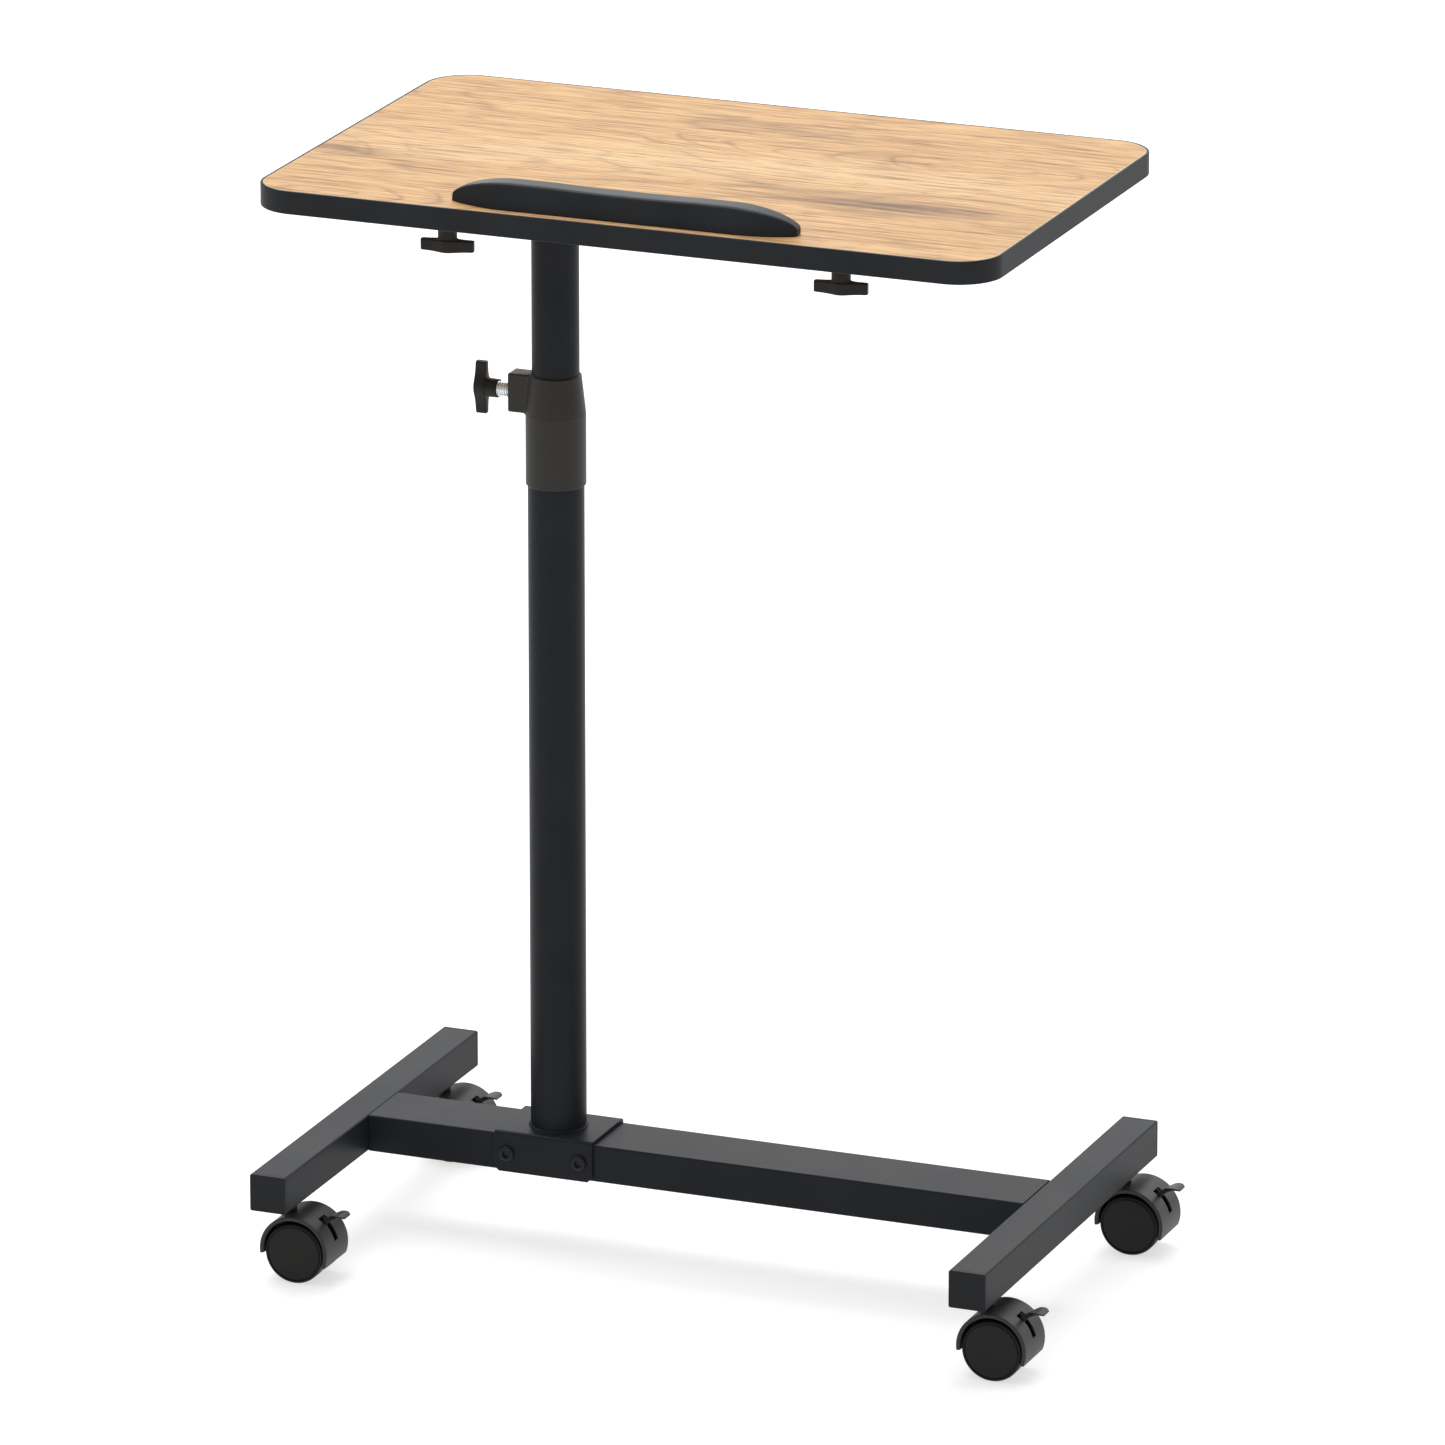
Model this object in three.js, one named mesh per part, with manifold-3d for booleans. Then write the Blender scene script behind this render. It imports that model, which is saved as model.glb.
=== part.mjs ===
// Mobile overbed table: a tilting oak-laminate board on a telescopic column that stands
// on an H-shaped base with four braked twin-wheel casters.
// Millimetres, +X to the user's right, +Y away from the user, +Z up, floor at Z = 0.

import * as THREE from 'three';
import { mergeVertices } from 'three/addons/utils/BufferGeometryUtils.js';
import Module from 'manifold-3d';

const wasm = await Module();
wasm.setup();

// ---------------------------------------------------------------- driving dimensions

const GAP = 0.3; // between pieces that touch on the real table

// Board
const BOARD_X = 0.5; // board's middle from the middle of the base
const BOARD_WIDTH = 600;
const BOARD_DEPTH = 380;
const BOARD_THICKNESS = 18;
const BOARD_CORNER = 35;
const BAND_THICKNESS = 2;
const BOARD_UNDERSIDE = 869;

// Stop bar on the board
const STOP_LENGTH = 280;
const STOP_HEIGHT = 20;
const STOP_TIP_HEIGHT = 4;
const STOP_DIP = 0.8; // the top sinks this much at mid length
const STOP_BACK_Y = -158;
const STOP_FRONT_Y = -180;
const STOP_RAKE = 4; // the front face leans back this much over its height
const STOP_SHOULDER = 86; // half length of the full-height part
const STOP_STRAIGHT = 93; // half length of the straight part of the front edge
const STOP_SWEEP = 12.5; // the front edge comes back this much at the tips

// H base
const TUBE = 30; // square tube of the legs, and the height of the crossbar
const TUBE_WALL = 1.5;
const TUBE_CORNER = 1.6;
const LEG_LENGTH = 382;
const LEG_X = 290.6; // leg centre from the middle of the base
const LEG_BOTTOM = 64;
const CROSSBAR_DEPTH = 60;
const CAP_FLANGE = 2.5;
const CAP_PLUG = 12;

// Column
const COLUMN_X = -125.2; // column axis from the middle of the base
const OUTER_RADIUS = 22;
const INNER_RADIUS = 18.5;
const COLUMN_WALL = 1.5;
const COLLAR_BOTTOM = 620.5;
const COLLAR_HEIGHT = 88.5;
const COLLAR_RADIUS = 23.5;
const COLLAR_TOP_RADIUS = 20;
const COLLAR_TAPER = 31;
const OUTER_TOP = 670;
const INNER_BOTTOM = 330;
const BUSH_LENGTH = 40;

// Saddle bracket on the crossbar
const BRACKET_HALF = 41.5;
const BRACKET_SHEET = 2.5;
const BRACKET_HEIGHT = 33.2;
const SCREW_X = 30.5;
const SCREW_HEAD_RADIUS = 6.25;
const SCREW_HEAD_HEIGHT = 2.6;
const SCREW_RADIUS = 4;

// Column clamp
const BLOCK_LEFT = -37;
const BLOCK_HEIGHT = 31;
const BLOCK_DEPTH = 17;
const CLAMP_Z = 692;
const COLUMN_STUD_RADIUS = 6;

// T-knobs
const KNOB_LENGTH = 41.5;
const KNOB_WIDTH = 13.5;
const KNOB_TIP_WIDTH = 5.6;
const KNOB_DEPTH = 9;
const KNOB_CROWN = 0.6;
const KNOB_HUB_LENGTH = 9.9;
const KNOB_HUB_RADIUS = 7.4;
const KNOB_STUD_SEAT = 4; // how far the stud goes into the grip
const KNOB_TOP = KNOB_DEPTH + KNOB_CROWN + KNOB_HUB_LENGTH; // from the grip's face to the hub's end

// Tilt frame under the board: all heights are measured down from the board's underside
const RAIL_HALF = 191;
const RAIL_DEPTH = 30;
const RAIL_HEIGHT = 25;
const RAIL_DROP = 9;
const RAIL_WALL = 2;
const ARM_SHEET = 5;
const PIVOT_Y = -113;
const PIVOT_DROP = 7.5;
const PIVOT_RADIUS = 4;
const ARM_EYE = 6.8;
const REST_PAD_X = 150;
const REST_PAD_RADIUS = 10;

// Board clamps
const CLAMP_X = 160.4;
const CLAMP_Y = -128;
const CLAMP_HALF = 14;
const CLAMP_FRONT_Y = -138;
const CLAMP_BACK_Y = -105;
const JAW_BOTTOM = 14;
const SADDLE_SKIN = 2; // steel left above the stud
const BOARD_STUD_RADIUS = 4;
const BOARD_KNOB_TURN = 7; // degrees, as the knobs are left when they are tight

// Casters, measured from the stem's axis
const CASTER_FRONT_Y = -149.3;
const CASTER_REAR_Y = 154.4;
const AXLE_X = 12;
const WHEEL_RADIUS = 24.5;
const WHEEL_SIDES = 28;
const WHEEL_INNER = 6.3;
const WHEEL_OUTER = 20.3;
const WHEEL_FACE = 3.5; // thickness of the closed outer face
const WHEEL_SOFT = 1.5; // bevel of the tread's edge
const HOOD_RADIUS = 28.6;
const HOOD_WALL = 3.2;
const HOOD_LIFT = 1.8; // the hood's centre above the axle
const HOOD_HALF = 21.3;
const [HOOD_FROM, HOOD_TO] = [-21, 188]; // degrees about the hood's centre, from +X up
const [SLOT_FROM, SLOT_TO, WINDOW_FROM] = [14, 59, 46];
const WINDOW_HALF = 5.8;
const WEB_HALF = 6;
const AXLE_RADIUS = 3;
const STEM_RADIUS = 4;
const NECK_TOP = 58.5;
const STEM_TOP = 83;
const PIN_BOTTOM = 4; // the stem's lower end, above the axle
const PEDAL_PIVOT = [12, 14]; // from the axle, along X and Z
const PEDAL_HALF = 3;
const PEDAL_PLAY = 0.4; // on each side, in the slot
const PEDAL_TIP = 37.6; // from the axle
const PADDLE_HALF = 8;
const TRUNNION_RADIUS = 2;

// The pedals reach past the board on the right, so the middle of the whole outline
// lies this far to the right of the middle of the base.
const OUTLINE_OFFSET = 16.5;

// ---------------------------------------------------------------- colours and finishes

const finish = (color, roughness, metalness) => new THREE.MeshStandardMaterial({ color, roughness, metalness });

const OAK = finish(0xd9ae78, 0.55, 0);
const EDGE = finish(0x303234, 0.5, 0);
const STOP_BLACK = finish(0x2c2e31, 0.45, 0);
const STEEL_BLACK = finish(0x34363a, 0.5, 0.3);
const CAP_BLACK = finish(0x2c2d2f, 0.55, 0);
const COLLAR_BLACK = finish(0x3a3936, 0.6, 0);
const CASTER_BLACK = finish(0x2b2b29, 0.55, 0);
const ZINC = finish(0xc4c8c9, 0.3, 0.9);
const SCREW_BLACK = finish(0x25272a, 0.4, 0.6);
const NYLON = finish(0xe4e2da, 0.6, 0);
const RUBBER = finish(0x1d1d1d, 0.85, 0);

// ---------------------------------------------------------------- geometry helpers

// Merges shared vertices, drops triangles with no area and turns the faces outwards.
function closed(geometry) {
  const bare = new THREE.BufferGeometry();
  bare.setAttribute('position', geometry.getAttribute('position').clone());
  if (geometry.index) bare.setIndex(geometry.index.clone());
  const merged = mergeVertices(bare, 1e-4);
  const p = merged.getAttribute('position');
  const kept = [];
  let volume = 0;
  const [a, b, c] = [new THREE.Vector3(), new THREE.Vector3(), new THREE.Vector3()];
  for (let i = 0; i < merged.index.count; i += 3) {
    const [u, v, w] = [merged.index.getX(i), merged.index.getX(i + 1), merged.index.getX(i + 2)];
    if (u === v || v === w || w === u) continue;
    kept.push(u, v, w);
    a.fromBufferAttribute(p, u);
    b.fromBufferAttribute(p, v);
    c.fromBufferAttribute(p, w);
    volume += a.dot(b.cross(c));
  }
  if (volume < 0) kept.reverse();
  merged.setIndex(kept);
  return merged;
}

function solid(geometry) {
  const tidy = closed(geometry);
  return new wasm.Manifold(new wasm.Mesh({
    numProp: 3,
    vertProperties: new Float32Array(tidy.getAttribute('position').array),
    triVerts: new Uint32Array(tidy.index.array),
  }));
}

function surface(manifold) {
  const mesh = manifold.getMesh();
  const geometry = new THREE.BufferGeometry();
  geometry.setAttribute('position', new THREE.BufferAttribute(new Float32Array(mesh.vertProperties), 3));
  geometry.setIndex(Array.from(mesh.triVerts));
  return geometry;
}

// Joins the first list of geometries and cuts away the second.
function carve(joined, removed = []) {
  let body = solid(joined[0]);
  for (const piece of joined.slice(1)) body = body.add(solid(piece));
  for (const piece of removed) body = body.subtract(solid(piece));
  return surface(body);
}

function box(x0, x1, y0, y1, z0, z1) {
  const geometry = new THREE.BoxGeometry(x1 - x0, y1 - y0, z1 - z0);
  return geometry.translate((x0 + x1) / 2, (y0 + y1) / 2, (z0 + z1) / 2);
}

// A round bar between two points.
function bar(radius, from, to, sides = 24) {
  const start = new THREE.Vector3(...from);
  const reach = new THREE.Vector3(...to).sub(start);
  const geometry = new THREE.CylinderGeometry(radius, radius, reach.length(), sides);
  geometry.translate(0, reach.length() / 2, 0);
  const turn = new THREE.Quaternion().setFromUnitVectors(new THREE.Vector3(0, 1, 0), reach.normalize());
  return geometry.applyQuaternion(turn).translate(start.x, start.y, start.z);
}

// A ring or shaft turned about Z from [radius, height] points.
function turnedZ(profile, sides) {
  const points = profile.map(([r, z]) => new THREE.Vector2(r, z));
  return new THREE.LatheGeometry(points, sides).rotateX(Math.PI / 2);
}

const tubeProfile = (outer, inner, z0, z1) => [[inner, z0], [outer, z0], [outer, z1], [inner, z1], [inner, z0]];

function polygon(points) {
  return new THREE.Shape(points.map(([u, v]) => new THREE.Vector2(u, v)));
}

function roundedRectangle(width, depth, radius) {
  const [w, d] = [width / 2, depth / 2];
  const shape = new THREE.Shape();
  shape.moveTo(-w + radius, -d);
  shape.absarc(w - radius, -d + radius, radius, -Math.PI / 2, 0);
  shape.absarc(w - radius, d - radius, radius, 0, Math.PI / 2);
  shape.absarc(-w + radius, d - radius, radius, Math.PI / 2, Math.PI);
  shape.absarc(-w + radius, -d + radius, radius, Math.PI, 1.5 * Math.PI);
  return shape;
}

function extrude(shape, length, curveSegments = 12) {
  return new THREE.ExtrudeGeometry(shape, { depth: length, bevelEnabled: false, curveSegments });
}

// A shape drawn in X and Z, carried along Y from y0 to y1.
function alongY(shape, y0, y1, curveSegments) {
  return extrude(shape, y1 - y0, curveSegments).rotateX(Math.PI / 2).translate(0, y1, 0);
}

// A shape drawn in Y and Z, carried along X from x0 to x1.
function alongX(shape, x0, x1, curveSegments) {
  const turn = new THREE.Matrix4().makeBasis(
    new THREE.Vector3(0, 1, 0), new THREE.Vector3(0, 0, 1), new THREE.Vector3(1, 0, 0),
  );
  return extrude(shape, x1 - x0, curveSegments).applyMatrix4(turn).translate(x0, 0, 0);
}

function part(name, geometry, material) {
  const mesh = new THREE.Mesh(closed(geometry), material);
  mesh.name = name;
  return mesh;
}

function group(x, y, z, ...children) {
  const holder = new THREE.Group();
  holder.position.set(x, y, z);
  holder.add(...children);
  return holder;
}

// ---------------------------------------------------------------- H base

const LEG_TOP = LEG_BOTTOM + TUBE;
const LEG_MIDDLE = LEG_BOTTOM + TUBE / 2;

// Square tube along Y with a weld nut and a hole in its lower wall over each caster.
function legGeometry() {
  const half = LEG_LENGTH / 2 - CAP_FLANGE - GAP;
  const inside = TUBE - 2 * TUBE_WALL;
  const floor = -TUBE / 2 + TUBE_WALL;
  const nuts = [CASTER_FRONT_Y, CASTER_REAR_Y].map((y) => bar(8, [0, y, floor - 0.5], [0, y, floor + 8], 6));
  const holes = [CASTER_FRONT_Y, CASTER_REAR_Y].map((y) => bar(STEM_RADIUS + GAP, [0, y, -TUBE], [0, y, 0], 12));
  const shell = carve(
    [alongY(roundedRectangle(TUBE, TUBE, TUBE_CORNER), -half, half, 1)],
    [box(-inside / 2, inside / 2, -half - 1, half + 1, -inside / 2, inside / 2)],
  );
  return carve([shell, ...nuts], holes);
}

// End cap of a leg: a flange flush with the tube and a plug that grips its inside.
function capGeometry(side) {
  const inside = TUBE / 2 - TUBE_WALL - GAP;
  const end = LEG_LENGTH / 2;
  const flange = alongY(roundedRectangle(TUBE, TUBE, TUBE_CORNER), end - CAP_FLANGE, end, 1);
  const plug = box(-inside, inside, end - CAP_FLANGE - CAP_PLUG, end - CAP_FLANGE + 1, -inside, inside);
  const hollow = box(
    -inside + 2, inside - 2, end - CAP_FLANGE - CAP_PLUG - 1, end - CAP_FLANGE, -inside + 2, inside - 2,
  );
  const cap = carve([flange, plug], [hollow]);
  return side > 0 ? cap : cap.rotateZ(Math.PI);
}

// Crossbar: flat tube along X between the legs, drilled for the two bracket screws.
function crossbarGeometry() {
  const half = LEG_X - TUBE / 2 - GAP;
  const [y, z] = [CROSSBAR_DEPTH / 2 - TUBE_WALL, TUBE / 2 - TUBE_WALL];
  const holes = [-SCREW_X, SCREW_X].map((x) => bar(
    SCREW_RADIUS + GAP, [COLUMN_X + x, -CROSSBAR_DEPTH, 0], [COLUMN_X + x, CROSSBAR_DEPTH, 0], 12,
  ));
  return carve(
    [alongX(roundedRectangle(CROSSBAR_DEPTH, TUBE, TUBE_CORNER), -half, half, 1)],
    [box(-half - 1, half + 1, -y, y, -z, z), ...holes],
  );
}

// Saddle bracket folded over the crossbar, with a weld nut behind each screw.
function bracketGeometry() {
  const inner = CROSSBAR_DEPTH / 2 + GAP;
  const outer = inner + BRACKET_SHEET;
  const top = TUBE / 2 + GAP + BRACKET_SHEET;
  const bottom = top - BRACKET_HEIGHT;
  const section = polygon([
    [-outer, bottom], [-inner, bottom], [-inner, top - BRACKET_SHEET], [inner, top - BRACKET_SHEET],
    [inner, bottom], [outer, bottom], [outer, top - 1.5], [outer - 1.5, top],
    [-outer + 1.5, top], [-outer, top - 1.5],
  ]);
  const nuts = [-SCREW_X, SCREW_X].map((x) => bar(7.2, [x, outer - 0.5, 0], [x, outer + 6, 0], 6));
  const holes = [-SCREW_X, SCREW_X].map((x) => bar(SCREW_RADIUS + GAP, [x, -2 * outer, 0], [x, 2 * outer, 0], 12));
  return carve([alongX(section, -BRACKET_HALF, BRACKET_HALF), ...nuts], holes);
}

// Button-head screw with a hexagon socket, lying along Y.
function bracketScrewGeometry() {
  const face = -(CROSSBAR_DEPTH / 2 + BRACKET_SHEET + 2 * GAP);
  const shank = -2 * face + 5;
  const head = [
    [0, 0], [SCREW_HEAD_RADIUS, 0], [SCREW_HEAD_RADIUS, 0.8],
    [SCREW_HEAD_RADIUS - 1.6, SCREW_HEAD_HEIGHT], [0, SCREW_HEAD_HEIGHT],
  ];
  const button = turnedZ(head, 16).rotateX(Math.PI / 2).translate(0, face, 0);
  return carve(
    [button, bar(SCREW_RADIUS, [0, face - 1, 0], [0, face + shank, 0], 12)],
    [bar(2.9, [0, face - SCREW_HEAD_HEIGHT - 1, 0], [0, face - 0.6, 0], 6)],
  );
}

const legs = [-1, 1].flatMap((side) => {
  const name = side < 0 ? 'left' : 'right';
  return [
    part(`${name}_leg`, legGeometry(), STEEL_BLACK),
    part(`${name}_leg_cap_front`, capGeometry(-1), CAP_BLACK),
    part(`${name}_leg_cap_rear`, capGeometry(1), CAP_BLACK),
  ].map((mesh) => group(side * LEG_X, 0, LEG_MIDDLE, mesh));
});

const baseFrame = group(
  0, 0, 0,
  ...legs,
  group(0, 0, LEG_MIDDLE, part('crossbar', crossbarGeometry(), STEEL_BLACK)),
  group(
    COLUMN_X, 0, LEG_MIDDLE,
    part('column_bracket', bracketGeometry(), STEEL_BLACK),
    group(-SCREW_X, 0, 0, part('bracket_screw_left', bracketScrewGeometry(), SCREW_BLACK)),
    group(SCREW_X, 0, 0, part('bracket_screw_right', bracketScrewGeometry(), SCREW_BLACK)),
  ),
);

// ---------------------------------------------------------------- column

const BRACKET_TOP = LEG_TOP + GAP + BRACKET_SHEET;
const RAIL_BOTTOM = BOARD_UNDERSIDE - RAIL_DROP - RAIL_HEIGHT;
const COLLAR_TOP = COLLAR_BOTTOM + COLLAR_HEIGHT;
const OUTER_BORE = OUTER_RADIUS - COLUMN_WALL;

// Plastic collar: a thin sleeve on the outer tube that tapers in to the inner tube,
// with a block on its left side for the clamp stud.
function collarGeometry() {
  const sleeve = [
    [OUTER_RADIUS + GAP, COLLAR_BOTTOM], [COLLAR_RADIUS, COLLAR_BOTTOM],
    [COLLAR_RADIUS, COLLAR_TOP - COLLAR_TAPER], [COLLAR_TOP_RADIUS, COLLAR_TOP],
    [INNER_RADIUS + GAP, COLLAR_TOP], [INNER_RADIUS + GAP, OUTER_TOP + GAP + 2],
    [OUTER_RADIUS + GAP, OUTER_TOP + GAP], [OUTER_RADIUS + GAP, COLLAR_BOTTOM],
  ];
  const [z0, z1] = [CLAMP_Z - BLOCK_HEIGHT / 2, CLAMP_Z + BLOCK_HEIGHT / 2];
  const block = box(BLOCK_LEFT, 0, -BLOCK_DEPTH / 2, BLOCK_DEPTH / 2, z0, z1);
  const bore = bar(INNER_RADIUS + GAP, [0, 0, z0 - 1], [0, 0, z1 + 1], 28);
  const hole = bar(COLUMN_STUD_RADIUS + GAP, [2 * BLOCK_LEFT, 0, CLAMP_Z], [0, 0, CLAMP_Z], 16);
  const blockPart = carve([block], [bore]);
  return carve([turnedZ(sleeve, 28), blockPart], [hole]);
}

// T-knob seen with its stud pointing along +Z: the cross bar is a boat shape along X,
// the hub stands on it, and the stud's hole is open at the hub.
function knobGeometry(studRadius) {
  const [l, w, t] = [KNOB_LENGTH / 2, KNOB_WIDTH / 2, KNOB_TIP_WIDTH / 2];
  const plan = new THREE.Shape();
  plan.moveTo(-l, -t);
  plan.quadraticCurveTo(-l / 2, -t - 0.8, 0, -w);
  plan.quadraticCurveTo(l / 2, -t - 0.8, l, -t);
  plan.lineTo(l, t);
  plan.quadraticCurveTo(l / 2, t + 0.8, 0, w);
  plan.quadraticCurveTo(-l / 2, t + 0.8, -l, t);
  const crossBar = extrude(plan, KNOB_DEPTH + KNOB_CROWN, 3);
  const crown = (side) => alongY(
    polygon([[side * l, -1], [side * 2 * l, -1], [side * 2 * l, 2 * KNOB_CROWN], [side * l, KNOB_CROWN], [0, -0.01], [0, -1]]),
    -KNOB_WIDTH, KNOB_WIDTH,
  );
  const top = KNOB_DEPTH + KNOB_CROWN;
  const hub = bar(KNOB_HUB_RADIUS, [0, 0, top - 1], [0, 0, top + KNOB_HUB_LENGTH], 16);
  const hole = bar(studRadius + GAP, [0, 0, top - KNOB_STUD_SEAT], [0, 0, top + 2 * KNOB_HUB_LENGTH], 16);
  return carve([crossBar, hub], [crown(-1), crown(1), hole]);
}

const COLUMN_HUB_FACE = -47.3; // where the column knob's hub ends, from the column axis
const PAD_THICKNESS = 2;
const PAD_FACE = -(INNER_RADIUS + GAP);

function columnKnobGeometry() {
  const knob = knobGeometry(COLUMN_STUD_RADIUS).translate(0, 0, -KNOB_TOP);
  return knob.rotateY(Math.PI / 2).translate(COLUMN_HUB_FACE, 0, 0);
}

function columnStudGeometry() {
  const inner = PAD_FACE - PAD_THICKNESS - GAP;
  const outer = COLUMN_HUB_FACE - KNOB_HUB_LENGTH - KNOB_STUD_SEAT + GAP;
  return bar(COLUMN_STUD_RADIUS, [outer, 0, 0], [inner, 0, 0], 16);
}

const bushTop = tubeProfile(OUTER_BORE - GAP, INNER_RADIUS + GAP, OUTER_TOP - BUSH_LENGTH, OUTER_TOP);
const bushBottom = tubeProfile(OUTER_BORE - GAP, INNER_RADIUS + GAP, INNER_BOTTOM + 5, INNER_BOTTOM + 5 + BUSH_LENGTH);
const outerTube = tubeProfile(OUTER_RADIUS, OUTER_BORE, BRACKET_TOP + GAP, OUTER_TOP);
const innerTube = tubeProfile(INNER_RADIUS, INNER_RADIUS - COLUMN_WALL, INNER_BOTTOM, RAIL_BOTTOM - GAP);

const column = group(
  COLUMN_X, 0, 0,
  part('outer_tube', turnedZ(outerTube, 32), STEEL_BLACK),
  part('collar', collarGeometry(), COLLAR_BLACK),
  part('upper_glide_bush', turnedZ(bushTop, 24), NYLON),
  part('lower_glide_bush', turnedZ(bushBottom, 24), NYLON),
  part('inner_tube', turnedZ(innerTube, 32), STEEL_BLACK),
  group(
    0, 0, CLAMP_Z,
    part('column_clamp_pad', bar(COLUMN_STUD_RADIUS, [PAD_FACE - PAD_THICKNESS, 0, 0], [PAD_FACE, 0, 0], 16), NYLON),
    part('column_stud', columnStudGeometry(), ZINC),
    part('column_knob', columnKnobGeometry(), COLLAR_BLACK),
  ),
);

// ---------------------------------------------------------------- tilt frame under the board

// Rail along X on top of the inner tube, a box section open at both ends.
function railGeometry() {
  const [y, z0, z1] = [RAIL_DEPTH / 2, -RAIL_DROP - RAIL_HEIGHT, -RAIL_DROP];
  return carve(
    [box(-RAIL_HALF, RAIL_HALF, -y, y, z0, z1)],
    [box(-RAIL_HALF - 1, RAIL_HALF + 1, -y + RAIL_WALL, y - RAIL_WALL, z0 + RAIL_WALL, z1 - RAIL_WALL)],
  );
}

// Arm: a plate from the end of the rail forward to the eye that carries the pivot rod.
function armGeometry() {
  const rear = RAIL_DEPTH / 2;
  const eye = new THREE.Shape();
  eye.moveTo(rear, -RAIL_DROP - RAIL_HEIGHT);
  eye.lineTo(rear, -RAIL_DROP);
  eye.lineTo(-rear, -RAIL_DROP);
  eye.lineTo(PIVOT_Y, -PIVOT_DROP + ARM_EYE);
  eye.absarc(PIVOT_Y, -PIVOT_DROP, ARM_EYE, Math.PI / 2, 1.5 * Math.PI);
  eye.lineTo(-rear - 25, -PIVOT_DROP - 13);
  eye.lineTo(-rear, -RAIL_DROP - RAIL_HEIGHT);
  const inner = RAIL_HALF + GAP;
  return carve(
    [alongX(eye, inner, inner + ARM_SHEET, 4)],
    [bar(PIVOT_RADIUS + GAP, [inner - 1, PIVOT_Y, -PIVOT_DROP], [inner + ARM_SHEET + 1, PIVOT_Y, -PIVOT_DROP], 16)],
  );
}

function pivotRodGeometry() {
  const half = RAIL_HALF + GAP + ARM_SHEET + 2;
  return bar(PIVOT_RADIUS, [-half, PIVOT_Y, -PIVOT_DROP], [half, PIVOT_Y, -PIVOT_DROP], 16);
}

const tiltFrame = group(
  BOARD_X, 0, BOARD_UNDERSIDE,
  part('tilt_rail', railGeometry(), STEEL_BLACK),
  part('tilt_arm_right', armGeometry(), STEEL_BLACK),
  part('tilt_arm_left', armGeometry().translate(-2 * RAIL_HALF - 2 * GAP - ARM_SHEET, 0, 0), STEEL_BLACK),
  part('pivot_rod', pivotRodGeometry(), ZINC),
  ...[-1, 1].map((side) => part(
    side < 0 ? 'rest_pad_left' : 'rest_pad_right',
    bar(REST_PAD_RADIUS, [side * REST_PAD_X, 0, -RAIL_DROP + GAP], [side * REST_PAD_X, 0, -GAP], 16),
    RUBBER,
  )),
);

// ---------------------------------------------------------------- board

function bandGeometry() {
  const outline = roundedRectangle(BOARD_WIDTH, BOARD_DEPTH, BOARD_CORNER);
  const inset = 2 * BAND_THICKNESS;
  const inside = roundedRectangle(BOARD_WIDTH - inset, BOARD_DEPTH - inset, BOARD_CORNER - BAND_THICKNESS);
  outline.holes.push(inside);
  return extrude(outline, BOARD_THICKNESS, 5);
}

function coreGeometry() {
  const inset = 2 * (BAND_THICKNESS + GAP / 3);
  const core = roundedRectangle(BOARD_WIDTH - inset, BOARD_DEPTH - inset, BOARD_CORNER - inset / 2);
  return extrude(core, BOARD_THICKNESS, 5);
}

// Stop bar: cross sections along X, each a raked four-sided section whose height and
// front edge fall away towards the tips.
function stopGeometry() {
  const half = STOP_LENGTH / 2;
  const steps = 22;
  const positions = [];
  for (let i = 0; i <= steps; i += 1) {
    const x = -half * Math.cos((Math.PI * i) / steps);
    const s = Math.max(0, (Math.abs(x) - STOP_SHOULDER) / (half - STOP_SHOULDER));
    const fall = (1 - s * s) ** 0.6;
    const dip = STOP_DIP * Math.max(0, 1 - (x / 60) ** 2);
    const height = STOP_TIP_HEIGHT + (STOP_HEIGHT - STOP_TIP_HEIGHT) * fall - dip;
    const sweep = Math.max(0, (Math.abs(x) - STOP_STRAIGHT) / (half - STOP_STRAIGHT));
    const front = STOP_FRONT_Y + STOP_SWEEP * sweep ** 2;
    const rake = STOP_RAKE * (height / STOP_HEIGHT);
    const soft = 1.6 * (height / STOP_HEIGHT);
    for (const [y, z] of [
      [STOP_BACK_Y, 0], [front, 0], [front + rake, height - soft], [front + rake + soft, height],
      [STOP_BACK_Y - soft, height], [STOP_BACK_Y, height - soft],
    ]) positions.push(x, y, z);
  }
  const ring = 6;
  const index = [];
  for (let i = 0; i < steps; i += 1) {
    for (let k = 0; k < ring; k += 1) {
      const [a, b] = [i * ring + k, i * ring + ((k + 1) % ring)];
      index.push(a, b, b + ring, a, b + ring, a + ring);
    }
  }
  const last = steps * ring;
  for (let k = 1; k < ring - 1; k += 1) {
    index.push(0, k + 1, k);
    index.push(last, last + k, last + k + 1);
  }
  const geometry = new THREE.BufferGeometry();
  geometry.setAttribute('position', new THREE.BufferAttribute(new Float32Array(positions), 3));
  geometry.setIndex(index);
  return geometry;
}

// Saddle: block screwed under the board, grooved to sit on the pivot rod.
function saddleGeometry() {
  const bottom = -PIVOT_DROP + GAP;
  return carve(
    [box(-CLAMP_HALF, CLAMP_HALF, CLAMP_FRONT_Y, CLAMP_BACK_Y, bottom, -GAP)],
    [
      bar(PIVOT_RADIUS + GAP, [-CLAMP_HALF - 1, PIVOT_Y, -PIVOT_DROP], [CLAMP_HALF + 1, PIVOT_Y, -PIVOT_DROP], 16),
      bar(BOARD_STUD_RADIUS + GAP, [0, CLAMP_Y, bottom - 1], [0, CLAMP_Y, -SADDLE_SKIN], 16),
    ],
  );
}

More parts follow.
